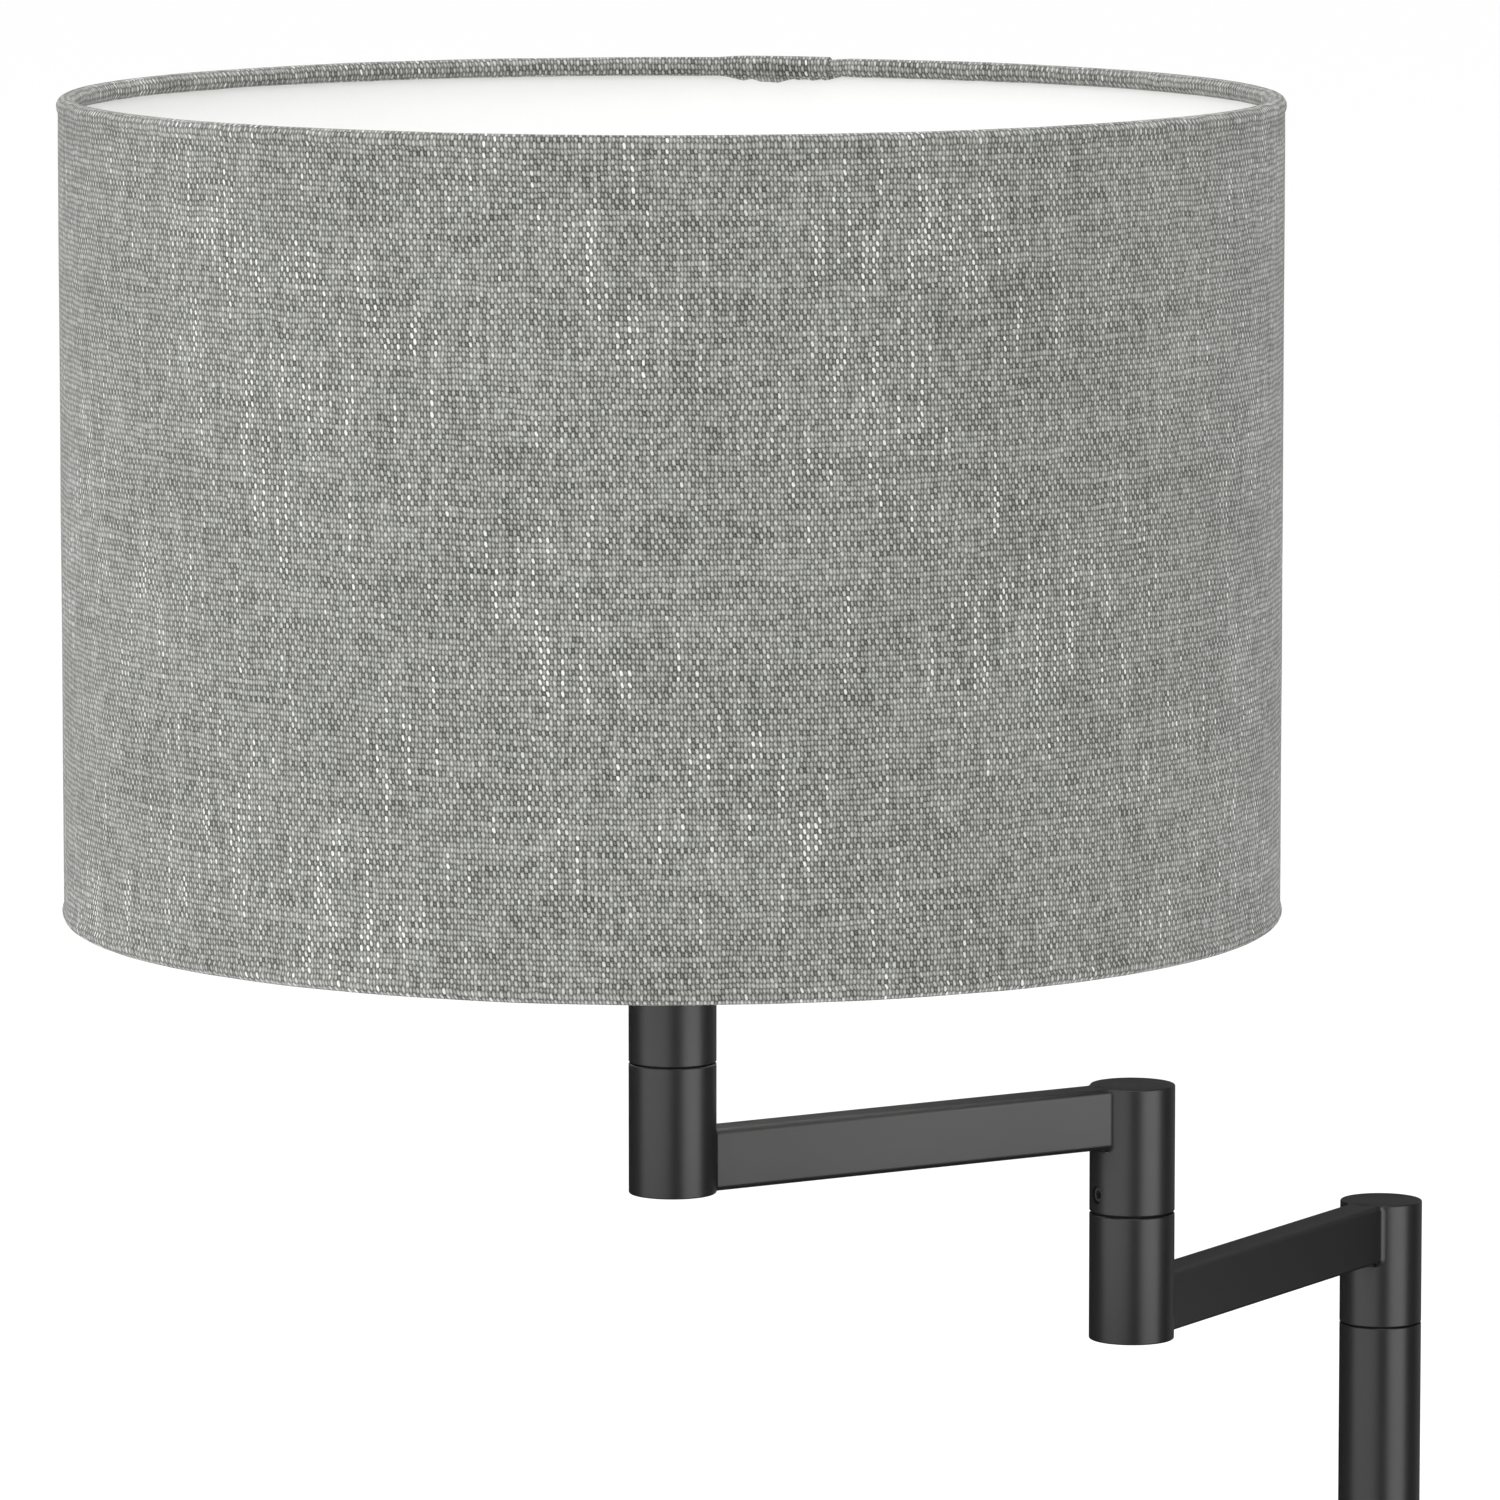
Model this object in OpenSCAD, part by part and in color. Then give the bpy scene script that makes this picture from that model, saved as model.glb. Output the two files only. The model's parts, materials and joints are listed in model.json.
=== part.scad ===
// Swing arm desk lamp: a weighted round base, a tube post, two level arms that swing on
// stacked tube knuckles, and a linen drum shade on a screw lampholder.
// Millimetres, +Z up. The origin is the centre of the base's underside, on the table.

/* [Base] */
// Diameter of the base cover
base_d = 220; // [180:5:300]
// Height of the base cover's top above the table
base_h = 18; // [17:1:30]
// Sheet thickness of the base cover
cover_wall = 1.2; // [0.8:0.1:2]
// Bend radius round the top edge of the base cover
cover_round = 4; // [2:0.5:6]
// Thickness of the felt pad under the base
pad_t = 1.5; // [1:0.5:3]
// Thickness of the closing plate under the base
plate_t = 1.2; // [0.8:0.1:2]
// Height of the pocket under the weight, for the nut and the wiring
pocket_h = 9; // [8.5:0.5:11]

/* [Post and knuckle tube] */
// Length of the post above the base
post_h = 288; // [180:4:460]
// Outside diameter of the post and of every knuckle
tube_d = 25.4; // [24:0.2:30]
// Wall of the post and knuckle tube
tube_wall = 1.5; // [1:0.1:2]

/* [Arms] */
// Distance between the two swivel axes of one arm
arm_reach = 160; // [110:5:220]
// Height of the arm bar
bar_h = 18; // [16:0.5:20]
// Thickness of the arm bar
bar_t = 12; // [9:0.5:13]
// Wall of the arm bar
bar_wall = 1.4; // [1:0.1:1.6]
// Corner radius of the arm bar
bar_round = 1.8; // [1.7:0.1:2.2]
// Height of one knuckle
knuckle_h = 38; // [36:1:50]
// Way the lower arm points, seen from above, counted from +X
lower_arm_angle = 239; // [0:1:359]
// Way the upper arm points, seen from above, counted from +X
upper_arm_angle = 212; // [0:1:359]

/* [Swivels] */
// Gap between two stacked knuckles, filled by a friction washer
seam_gap = 0.4; // [0.3:0.1:1]
// How far the washer's edge stands back from the tube's face
washer_recess = 0.9; // [0.5:0.1:2]
// Diameter of a spigot's journal
journal_d = 15; // [14:0.5:16]
// Length of a spigot's journal
journal_l = 18; // [14:1:20]
// Length of a spigot's plug inside the tube
plug_l = 14; // [10:1:16]
// Radial running clearance of a journal
running = 0.05; // [0.03:0.01:0.08]
// Thread diameter of the set screws
set_screw_d = 5; // [4:0.5:5]
// Height of a set screw above its seam
set_screw_z = 6.2; // [5:0.2:8]
// Arc of the solid land that stops a set screw's tip
stop_arc = 24; // [20:1:30]

/* [Lead] */
// Diameter of the lead inside the tubes
lead_d = 3.6; // [3:0.1:4]
// Centre-line radius of the lead where it turns into an arm
lead_bend = 8; // [6:0.5:8]

/* [Shade] */
// Outside diameter of the shade
shade_d = 350; // [280:5:420]
// Height of the shade
shade_h = 236; // [200:2:300]
// Thickness of the linen
linen_t = 0.8; // [0.6:0.1:1]
// Thickness of the white liner
liner_t = 0.4; // [0.3:0.1:0.6]
// How far the rolled edges stand out from the wall
edge_bulge = 0.5; // [0.3:0.1:0.8]
// Wire diameter of the shade's two rings
ring_wire = 4; // [3:0.5:5]
// Depth of the turned-in hem
hem_depth = 5.5; // [5.5:0.5:12]
// Wire diameter of the spokes
spoke_wire = 3.2; // [2.5:0.1:4]

/* [Lampholder] */
// Length of the stem tube above the head seam
stem_l = 50; // [44:1:54]
// Diameter of the lampholder's cap
holder_d = 40; // [36:1:44]
// Height of the lampholder's cap
holder_cap_h = 24; // [22:1:28]
// Height of the lampholder's threaded skirt
skirt_h = 35; // [32:1:40]
// Height of the fitter ring above the shade's lower edge
fitter_rise = 36; // [32:1:44]

/* [Bulb] */
// Diameter of the bulb's dome
bulb_d = 60; // [50:1:66]
// Height of the bulb's housing between cap and dome
housing_h = 44; // [36:1:50]

/* [Hidden] */
$fn = 96;

// Colours
DARK = [0.16, 0.16, 0.16];
STEEL = [0.62, 0.62, 0.62];
BRASS = [0.75, 0.6, 0.3];
BLACK = [0.08, 0.08, 0.08];

// Shared small sizes
eps = 0.01;                              // makes a cut run past a face
edge = 0.4;                              // broken edge on turned tube ends
touch = 0.02;                            // air between faces on two moving bodies
tube_r = tube_d / 2;
bore_r = tube_r - tube_wall;             // inside radius of the tube
journal_r = journal_d / 2;
lead_r = lead_d / 2;
lead_hole_r = lead_r + 1;                // hole that the lead passes through
nipple_r = 5;                            // M10 lamp pipe
nipple_bore_r = 3.4;

// Heights in the base
plate_z = pad_t;
cavity_z = plate_z + plate_t;            // floor of the pocket, underside of the weight
cover_inner_z = base_h - cover_wall;
pocket_z = cavity_z + pocket_h;          // ceiling of the pocket in the weight
base_r = base_d / 2;
cover_inner_r = base_r - cover_wall;
weight_r = cover_inner_r - 0.8;          // slides into the cover
nut_t = 3.6;
nut_af = 14;                             // across the flats
base_washer_t = 1.2;
base_washer_r = 10;
nipple_bottom = pocket_z - base_washer_t - nut_t;
foot_plug_h = 14;
nut_pocket_r = 14;
channel_w = 20;                          // pocket's arm that runs back to the cord gland
screw_pitch_r = weight_r - 9;
screw_angles = [0, 180, 240, 300];       // the gland takes the place at the back
screw_r = 2;
screw_head_r = 3.6;
screw_l = 9;

// Cord gland at the back of the base
gland_r = 5;
gland_bore_r = 3.6;
gland_flange_r = 6.8;
gland_flange_t = 2.5;
gland_z = gland_flange_r + pad_t + 0.2;
gland_inner_y = weight_r - 13;
gland_air = 0.3;

// Terminal block in the pocket of the weight
block = [16, 24, 8];
block_y = 30;                            // its face towards the post

// Swivel joints
stop_gap = 1.3;                          // depth left in the groove beyond the screw's tip
tip_r = 1.4;
tip_in = 6.6;                            // how near a screw's tip comes to the axis
groove_r = tip_in - 0.4;
groove_w = 2 * tip_r + 0.4;
screw_sunk = 0.7;                        // set screw's face below the tube's face
socket_af = 2.5;
bush_l = 19;
front = 270;                             // towards the lamp's user
back = 90;

// Places of the three swivel seams and of the arms' own parts
post_top = base_h + post_h;
bar_z = seam_gap + knuckle_h - bar_h;    // bar's underside above its arm's lower seam
bar_mid_z = bar_z + bar_h / 2;
outer_top = bar_z + knuckle_h;           // top of an arm's outer knuckle
cap_t = 2;                               // thickness of the pressed-in caps
cap_edge = 0.3;
elbow_at = [arm_reach * cos(lower_arm_angle), arm_reach * sin(lower_arm_angle), post_top + outer_top];
head_at = elbow_at + [arm_reach * cos(upper_arm_angle), arm_reach * sin(upper_arm_angle), outer_top];

// Heights in the head, counted from the head seam
stem_top = seam_gap + stem_l;
stem_plug_h = 6;
holder_r = holder_d / 2;
holder_wall = 2;
cap_top = stem_top + holder_cap_h;
skirt_r = holder_r - 0.6;
skirt_inner_r = min(15.6, skirt_r - 1.6);   // clears the bulb, and leaves a wall under the thread
skirt_top = cap_top + skirt_h;
switch_z = stem_top + holder_cap_h * 0.58;
switch_shaft_r = 2.5;
knob_r = 8;
knob_l = 12;
knob_air = 4;                            // between the holder's wall and the knob
knob_flutes = 12;
shade_ring_t = 4;
fitter_z = cap_top + shade_ring_t + 0.6; // the lower shade ring stands just above the cap
fitter_t = 1.2;
fitter_in = skirt_r + 0.3;
shade_ring_out = 28.5;
fitter_out = shade_ring_out + 2;         // the spokes end clear of the shade rings
shade_ring_notches = 16;

// Shade
shade_r = shade_d / 2;
roll_r = ring_wire / 2 + linen_t;        // outer radius of the rolled edge
wire_path_r = shade_r - roll_r;          // radius of the two wire rings
wall_r = shade_r - edge_bulge;           // outer radius of the linen between its edges
shade_base = fitter_z - fitter_rise;
shade_top = shade_base + shade_h;
arc_step = 15;
hem_bore_r = ring_wire / 2 / cos(arc_step / 2);   // the hem's flats just touch the wire
liner_inset = roll_r + ring_wire / 2 - 0.1;       // the liner's edges end beside the wires
spoke_r = spoke_wire / 2;
spoke_angles = [30, 150, 270];
spoke_low_z = shade_base + roll_r;
spoke_high_z = fitter_z + fitter_t / 2;
spoke_drop = spoke_high_z - spoke_low_z;
spoke_reach = wire_path_r - fitter_out;

// Bulb
thread_r = 13.1;                         // screw cap's outside radius
shell_t = 0.5;
bulb_cap_h = 24;
contact_z = cap_top + 5;                 // where the bulb's tip meets the holder's contact
bulb_cap_z = contact_z + 3;
housing_z = bulb_cap_z + bulb_cap_h;
dome_z = housing_z + housing_h;          // lower edge of the dome
dome_r = bulb_d / 2;
dome_foot_r = dome_r - 1.5;
dome_mid_z = dome_z + sqrt(dome_r * dome_r - dome_foot_r * dome_foot_r);
dome_t = 1.2;

// ---------- shared shapes ----------

// A turned tube with small bevels on its outer edges
module turned_tube(outer_r, inner_r, z0, z1, bevel = edge) {
    rotate_extrude()
        polygon([
            [inner_r, z0], [outer_r - bevel, z0], [outer_r, z0 + bevel],
            [outer_r, z1 - bevel], [outer_r - bevel, z1], [inner_r, z1]
        ]);
}

module disc(r, z0, z1) {
    translate([0, 0, z0]) cylinder(r = r, h = z1 - z0);
}

module ring(outer_r, inner_r, z0, z1) {
    difference() {
        disc(outer_r, z0, z1);
        disc(inner_r, z0 - eps, z1 + eps);
    }
}

// A rod or hole of radius r, out along +X from x0 to x1 at height z
module radial_rod(r, x0, x1, z, sides = $fn) {
    translate([x0, 0, z]) rotate([0, 90, 0]) cylinder(r = r, h = x1 - x0, $fn = sides);
}

// Rectangle with round corners, made so that it stays exact
module round_rect(w, h, r) {
    square([w - 2 * r, h], center = true);
    square([w, h - 2 * r], center = true);
    for (x = [-1, 1], y = [-1, 1])
        translate([x * (w / 2 - r), y * (h / 2 - r)]) circle(r = r);
}

// A quarter bend in the XZ plane: it leaves the origin along +Z and ends heading +X
module quarter_bend(bend, r) {
    translate([bend, 0, 0]) rotate([90, 0, 0]) rotate([0, 0, 90])
        rotate_extrude(angle = 90) translate([bend, 0]) circle(r = r);
}

module at_post_top() { translate([0, 0, post_top]) children(); }
module at_lower_arm() { at_post_top() rotate(lower_arm_angle) children(); }
module at_elbow() { translate(elbow_at) children(); }
module at_upper_arm() { at_elbow() rotate(upper_arm_angle) children(); }
module at_head() { translate(head_at) children(); }

// ---------- swivel parts; each sits on a seam at z = 0 ----------

// Hollow spigot: a plug pressed into the tube below, and a journal for the bush above.
// The groove holds the set screw's tip; land_at is the way its stop faces.
module spigot(land_at) {
    difference() {
        union() {
            disc(bore_r, -plug_l, 0);
            disc(journal_r, 0, journal_l);
        }
        disc(lead_hole_r, -plug_l - eps, journal_l + eps);
        rotate(land_at + stop_arc / 2)
            rotate_extrude(angle = 360 - stop_arc)
                translate([groove_r, set_screw_z - groove_w / 2])
                    square([journal_r - groove_r + 1, groove_w]);
    }
}

module friction_washer() {
    ring(tube_r - washer_recess, journal_r + running, touch, seam_gap);
}

module swivel_bush(screw_at) {
    difference() {
        ring(bore_r, journal_r + running, seam_gap, seam_gap + bush_l);
        rotate(screw_at) radial_rod(set_screw_d / 2, 0, tube_r, set_screw_z);
    }
}

module set_screw(screw_at) {
    shank_in = journal_r + 0.4;
    face = tube_r - screw_sunk;
    color(BLACK) rotate(screw_at) difference() {
        union() {
            radial_rod(set_screw_d / 2, shank_in, face, set_screw_z);
            radial_rod(tip_r, tip_in, shank_in + eps, set_screw_z);
        }
        radial_rod(socket_af / 2 / cos(30), face - 2, face + eps, set_screw_z, 6);
    }
}

module screw_clearance(screw_at) {
    rotate(screw_at) radial_rod(set_screw_d / 2 + 0.1, bore_r - 1, tube_r + 1, set_screw_z);
}

// ---------- arm parts; the arm lies along +X from its lower swivel axis ----------

module inner_knuckle(screw_at) {
    color(DARK) difference() {
        turned_tube(tube_r, bore_r, seam_gap, seam_gap + knuckle_h);
        screw_clearance(screw_at);
        radial_rod(lead_hole_r, bore_r - 1, tube_r + 1, bar_mid_z);
    }
}

module outer_knuckle() {
    color(DARK) translate([arm_reach, 0, 0]) difference() {
        turned_tube(tube_r, bore_r, bar_z, outer_top);
        rotate(180) radial_rod(lead_hole_r, bore_r - 1, tube_r + 1, bar_mid_z);
    }
}

module arm_bar() {
    color(DARK) difference() {
        translate([0, 0, bar_mid_z]) rotate([90, 0, 90])
            linear_extrude(arm_reach) difference() {
                round_rect(bar_t, bar_h, bar_round);
                round_rect(bar_t - 2 * bar_wall, bar_h - 2 * bar_wall, bar_round - bar_wall);
            }
        for (x = [0, arm_reach])
            translate([x, 0, 0]) disc(tube_r, 0, outer_top);
    }
}

// Caps press into the tube's bore, flush with its end; face says which end shows
module knuckle_cap(z, face) {
    z0 = face > 0 ? z - cap_t : z;
    z1 = z0 + cap_t;
    bevel = cap_edge;
    color(DARK) rotate_extrude()
        polygon(face > 0
            ? [[0, z0], [bore_r, z0], [bore_r, z1 - bevel], [bore_r - bevel, z1], [0, z1]]
            : [[0, z0], [bore_r - bevel, z0], [bore_r, z0 + bevel], [bore_r, z1], [0, z1]]);
}

// The lead climbs out of the spigot below, runs along the bar and up through the next spigot
module arm_lead() {
    turn_in = bar_mid_z - lead_bend;
    color("white") {
        disc(lead_r, journal_l + touch, turn_in);
        translate([0, 0, turn_in]) quarter_bend(lead_bend, lead_r);
        radial_rod(lead_r, lead_bend, arm_reach - lead_bend, bar_mid_z);
        translate([arm_reach, 0, bar_mid_z + lead_bend])
            mirror([0, 0, 1]) mirror([1, 0, 0]) quarter_bend(lead_bend, lead_r);
        translate([arm_reach, 0, 0])
            disc(lead_r, bar_mid_z + lead_bend, outer_top + journal_l);
    }
}

// ---------- base ----------

module felt_pad() {
    color([0.1, 0.1, 0.1]) disc(cover_inner_r - 3, 0, pad_t);
}

module plate_screw_shape(grow = 0) {
    disc(screw_r + grow, plate_z, plate_z + screw_l + grow);
    translate([0, 0, plate_z])
        cylinder(r1 = screw_head_r + grow, r2 = screw_r + grow, h = plate_t);
}

module plate_screws() {
    color(STEEL) for (a = screw_angles)
        rotate(a) translate([screw_pitch_r, 0, 0]) difference() {
            plate_screw_shape();
            disc(1.2, plate_z - eps, plate_z + 0.8);
        }
}

module base_plate() {
    color(STEEL) difference() {
        disc(cover_inner_r - 0.5, plate_z, cavity_z);
        for (a = screw_angles)
            rotate(a) translate([screw_pitch_r, 0, 0])
                translate([0, 0, plate_z - eps])
                    cylinder(r1 = screw_head_r, r2 = screw_r, h = plate_t + 2 * eps);
    }
}

module base_weight() {
    color([0.25, 0.25, 0.26]) difference() {
        disc(weight_r, cavity_z, cover_inner_z);
        disc(nut_pocket_r, cavity_z - eps, pocket_z);
        translate([-channel_w / 2, 0, cavity_z - eps]) cube([channel_w, gland_inner_y, pocket_h + eps]);
        disc(nipple_r + 0.3, 0, base_h);
        // the inside bend of the cover needs the weight's top edge taken off
        difference() {
            disc(base_r, cover_inner_z - cover_round, base_h);
            translate([0, 0, cover_inner_z - cover_round])
                cylinder(r1 = weight_r, r2 = weight_r - cover_round, h = cover_round + eps);
        }
        for (a = screw_angles)
            rotate(a) translate([screw_pitch_r, 0, 0])
                disc(screw_r, cavity_z - eps, plate_z + screw_l + 1);
        translate([0, gland_inner_y - 1, gland_z]) rotate([-90, 0, 0])
            cylinder(r = gland_r + gland_air, h = weight_r);
    }
}

module base_cover() {
    arc = [for (a = [0 : 7.5 : 90]) a];
    inner_round = cover_round - cover_wall;
    color(DARK) difference() {
        rotate_extrude()
            polygon(concat(
                [[cover_inner_r, pad_t], [base_r, pad_t]],
                [for (a = arc) [base_r - cover_round + cover_round * cos(a),
                                base_h - cover_round + cover_round * sin(a)]],
                [[nipple_r + 0.1, base_h], [nipple_r + 0.1, cover_inner_z]],
                [for (i = [len(arc) - 1 : -1 : 0])
                    [cover_inner_r - inner_round + inner_round * cos(arc[i]),
                     cover_inner_z - inner_round + inner_round * sin(arc[i])]]
            ));
        translate([0, base_r - 10, gland_z]) rotate([-90, 0, 0])
            cylinder(r = gland_r + 0.05, h = 20);
    }
}

module base_nipple() {
    color(STEEL) ring(nipple_r, nipple_bore_r, nipple_bottom, base_h + foot_plug_h - 2);
}

module base_washer() {
    color(STEEL) ring(base_washer_r, nipple_r + 0.2, pocket_z - base_washer_t, pocket_z);
}

module base_nut() {
    color(STEEL) difference() {
        translate([0, 0, nipple_bottom]) cylinder(d = nut_af / cos(30), h = nut_t, $fn = 6);
        disc(nipple_r, 0, base_h);
    }
}

module cord_gland() {
    color(BLACK) translate([0, 0, gland_z]) rotate([-90, 0, 0]) difference() {
        union() {
            disc(gland_r, gland_inner_y, base_r);
            translate([0, 0, base_r])
                cylinder(r1 = gland_flange_r, r2 = gland_flange_r - 1, h = gland_flange_t);
        }
        disc(gland_bore_r, gland_inner_y - 1, base_r + gland_flange_t + 1);
    }
}

module terminal_block() {
    color("white") difference() {
        translate([-block[0] / 2, block_y, cavity_z]) cube(block);
        for (x = [-4, 4], y = [6, 18])
            translate([x, block_y + y, 0]) disc(1.6, cavity_z + 4, cavity_z + block[2] + 1);
    }
}

// ---------- post ----------

module post_tube() {
    color(DARK) turned_tube(tube_r, bore_r, base_h, post_top);
}

module post_foot_plug() {
    color(STEEL) ring(bore_r, nipple_r, base_h, base_h + foot_plug_h);
}

module post_spigot() {
    color(BRASS) at_post_top() spigot(front);
}

module post_lead() {
    bend = 4;
    low_z = cavity_z + lead_r + 0.3;
    color("white") {
        translate([0, 0, low_z + bend]) disc(lead_r, 0, post_top + journal_l - low_z - bend);
        translate([0, 0, low_z + bend]) mirror([0, 0, 1]) rotate(90) quarter_bend(bend, lead_r);
        translate([0, 0, low_z]) rotate(90) radial_rod(lead_r, bend, block_y, 0);
    }
}

// ---------- lower arm ----------

module lower_arm_washer() { color(BLACK) at_lower_arm() friction_washer(); }
module lower_arm_bush() { color(BRASS) at_lower_arm() swivel_bush(180); }
module lower_arm_inner_knuckle() { at_lower_arm() inner_knuckle(180); }
module lower_arm_top_cap() { at_lower_arm() knuckle_cap(seam_gap + knuckle_h, 1); }
module lower_arm_set_screw() { at_lower_arm() set_screw(180); }
module lower_arm_bar() { at_lower_arm() arm_bar(); }
module lower_arm_outer_knuckle() { at_lower_arm() outer_knuckle(); }
module lower_arm_bottom_cap() { at_lower_arm() translate([arm_reach, 0, 0]) knuckle_cap(bar_z, -1); }
module lower_arm_lead() { at_lower_arm() arm_lead(); }
module elbow_spigot() { color(BRASS) at_elbow() spigot(lower_arm_angle + 180); }

// ---------- upper arm ----------

module upper_arm_washer() { color(BLACK) at_upper_arm() friction_washer(); }
module upper_arm_bush() { color(BRASS) at_upper_arm() swivel_bush(0); }
module upper_arm_inner_knuckle() { at_upper_arm() inner_knuckle(0); }
module upper_arm_top_cap() { at_upper_arm() knuckle_cap(seam_gap + knuckle_h, 1); }
module upper_arm_set_screw() { at_upper_arm() set_screw(0); }
module upper_arm_bar() { at_upper_arm() arm_bar(); }
module upper_arm_outer_knuckle() { at_upper_arm() outer_knuckle(); }
module upper_arm_bottom_cap() { at_upper_arm() translate([arm_reach, 0, 0]) knuckle_cap(bar_z, -1); }
module upper_arm_lead() { at_upper_arm() arm_lead(); }
module head_spigot() { color(BRASS) at_head() spigot(front); }

// ---------- stem and lampholder ----------

module head_washer() { color(BLACK) at_head() friction_washer(); }
module head_bush() { color(BRASS) at_head() swivel_bush(back); }
module head_set_screw() { at_head() set_screw(back); }

module stem_tube() {
    color(DARK) at_head() difference() {
        turned_tube(tube_r, bore_r, seam_gap, stem_top);
        screw_clearance(back);
    }
}

module stem_plug() {
    color(STEEL) at_head() ring(bore_r, nipple_r, stem_top - stem_plug_h, stem_top);
}

module holder_nipple() {
    color(STEEL) at_head()
        ring(nipple_r, nipple_bore_r, stem_top - stem_plug_h - 2, stem_top + holder_wall + 4);
}

module stem_lead() {
    color("white") at_head() disc(lead_r, journal_l + touch, cap_top);
}

module holder_cap() {
    shoulder = 7;                         // height of the sloping lower part
    neck = tube_r - 1;
    w = holder_wall;
    color(BLACK) at_head() difference() {
        rotate_extrude()
            polygon([
                [nipple_r, stem_top], [neck, stem_top], [holder_r, stem_top + shoulder],
                [holder_r, cap_top], [holder_r - w, cap_top],
                [holder_r - w, stem_top + shoulder + 1], [neck - 1, stem_top + w],
                [nipple_r, stem_top + w]
            ]);
        rotate(front) radial_rod(switch_shaft_r + running, holder_r - 2 * w, holder_r + 1, switch_z);
    }
}

module holder_skirt() {
    ribs = 5;
    color(BLACK) at_head() difference() {
        ring(skirt_r, skirt_inner_r, cap_top, skirt_top);
        for (i = [0 : ribs - 1])          // thread grooves above the shade rings
            ring(skirt_r + 1, skirt_r - 0.5,
                 fitter_z + fitter_t + shade_ring_t + 2 + i * 2.5,
                 fitter_z + fitter_t + shade_ring_t + 3 + i * 2.5);
    }
}

module holder_insulator() {
    color("white") at_head() disc(skirt_inner_r, cap_top, contact_z - 1);
}

module holder_contact() {
    color(BRASS) at_head() disc(4, contact_z - 1, contact_z);
}

module holder_screw_shell() {
    color(BRASS) at_head()
        ring(thread_r + shell_t + 0.3, thread_r + 0.3, bulb_cap_z + 1, bulb_cap_z + 16);
}

module shade_ring(z0) {
    color(BLACK) at_head() difference() {
        ring(shade_ring_out, skirt_r, z0, z0 + shade_ring_t);
        for (i = [0 : shade_ring_notches - 1])
            rotate(i * 360 / shade_ring_notches)
                translate([shade_ring_out + 0.6, 0, 0]) disc(1.4, z0 - eps, z0 + shade_ring_t + eps);
    }
}

module shade_ring_lower() { shade_ring(fitter_z - shade_ring_t); }
module shade_ring_upper() { shade_ring(fitter_z + fitter_t); }

// ---------- rotary switch ----------

module switch_shaft() {
    color(BRASS) at_head() rotate(front)
        radial_rod(switch_shaft_r, holder_r - holder_wall - 6, holder_r + knob_air + 1, switch_z);
}

module switch_knob() {
    x0 = holder_r + knob_air;
    color(BLACK) at_head() rotate(front) difference() {
        union() {
            radial_rod(knob_r, x0, x0 + knob_l - 2, switch_z);
            translate([x0 + knob_l - 2, 0, switch_z]) rotate([0, 90, 0])
                cylinder(r1 = knob_r, r2 = knob_r - 1.5, h = 2);
        }
        radial_rod(switch_shaft_r, x0 - eps, x0 + 1, switch_z);
        for (i = [0 : knob_flutes - 1])
            translate([x0, 0, switch_z]) rotate([i * 360 / knob_flutes, 0, 0])
                translate([-eps, knob_r + 0.5, 0]) rotate([0, 90, 0])
                    cylinder(r = 1.1, h = knob_l + 1);
    }
}

// ---------- shade ----------

module wire_ring(z) {
    rotate_extrude($fn = 180) translate([wire_path_r, z]) circle(r = ring_wire / 2, $fn = 24);
}

module spoke(a, r) {
    rotate(a) translate([wire_path_r, 0, spoke_low_z])
        rotate([0, -atan2(spoke_reach, spoke_drop), 0])
            cylinder(r = r, h = norm([spoke_reach, spoke_drop]));
}

module shade_spider() {
    color(STEEL) at_head() {
        ring(fitter_out, fitter_in, fitter_z, fitter_z + fitter_t);
        difference() {
            for (a = spoke_angles) spoke(a, spoke_r);
            wire_ring(spoke_low_z);
            disc(fitter_out, fitter_z - 5, fitter_z + 5);
        }
    }
}

module shade_bottom_wire() { color(STEEL) at_head() wire_ring(shade_base + roll_r); }
module shade_top_wire() { color(STEEL) at_head() wire_ring(shade_top - roll_r); }

// Points on an arc about the wire, from angle a0 to a1
function wire_arc(r, a0, a1) = let (n = ceil(abs(a1 - a0) / arc_step))
    [for (i = [0 : n]) let (a = a0 + (a1 - a0) * i / n) r * [cos(a), sin(a)]];

// The lower rolled edge, from the linen's inner face round the wire and back to its outer face.
// x is counted from the wire's centre outwards, y from its centre up to the tucked-in end.
function rolled_edge() = let (
    out_x = wall_r - wire_path_r,
    in_x = out_x - linen_t,
    tuck = [in_x - liner_t, hem_depth - roll_r],
    tuck_a = atan2(tuck[1], tuck[0]) + acos(hem_bore_r / norm(tuck)) - 360
) concat(
    wire_arc(hem_bore_r, acos(in_x / hem_bore_r), tuck_a),
    [tuck, tuck + linen_t * [cos(tuck_a), sin(tuck_a)]],
    wire_arc(roll_r, tuck_a, acos(out_x / roll_r))
);

module shade_linen() {
    lower = rolled_edge();
    middle = shade_h / 2 - roll_r;       // from a wire's centre to the middle of the wall
    color([0.55, 0.56, 0.54]) at_head() difference() {
        translate([0, 0, shade_base + shade_h / 2]) rotate_extrude($fn = 180)
            translate([wire_path_r, 0]) polygon(concat(
                [for (p = lower) [p[0], p[1] - middle]],
                [for (i = [len(lower) - 1 : -1 : 0]) [lower[i][0], middle - lower[i][1]]]
            ));
        for (a = spoke_angles) spoke(a, spoke_r + 0.1);
    }
}

module shade_liner() {
    liner_r = wall_r - linen_t;
    color("white") at_head()
        ring(liner_r, liner_r - liner_t, shade_base + liner_inset, shade_top - liner_inset);
}

// ---------- bulb ----------

module bulb_contact() {
    color(BRASS) at_head() translate([0, 0, contact_z]) cylinder(r1 = 3, r2 = 5, h = 1.5);
}

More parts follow.
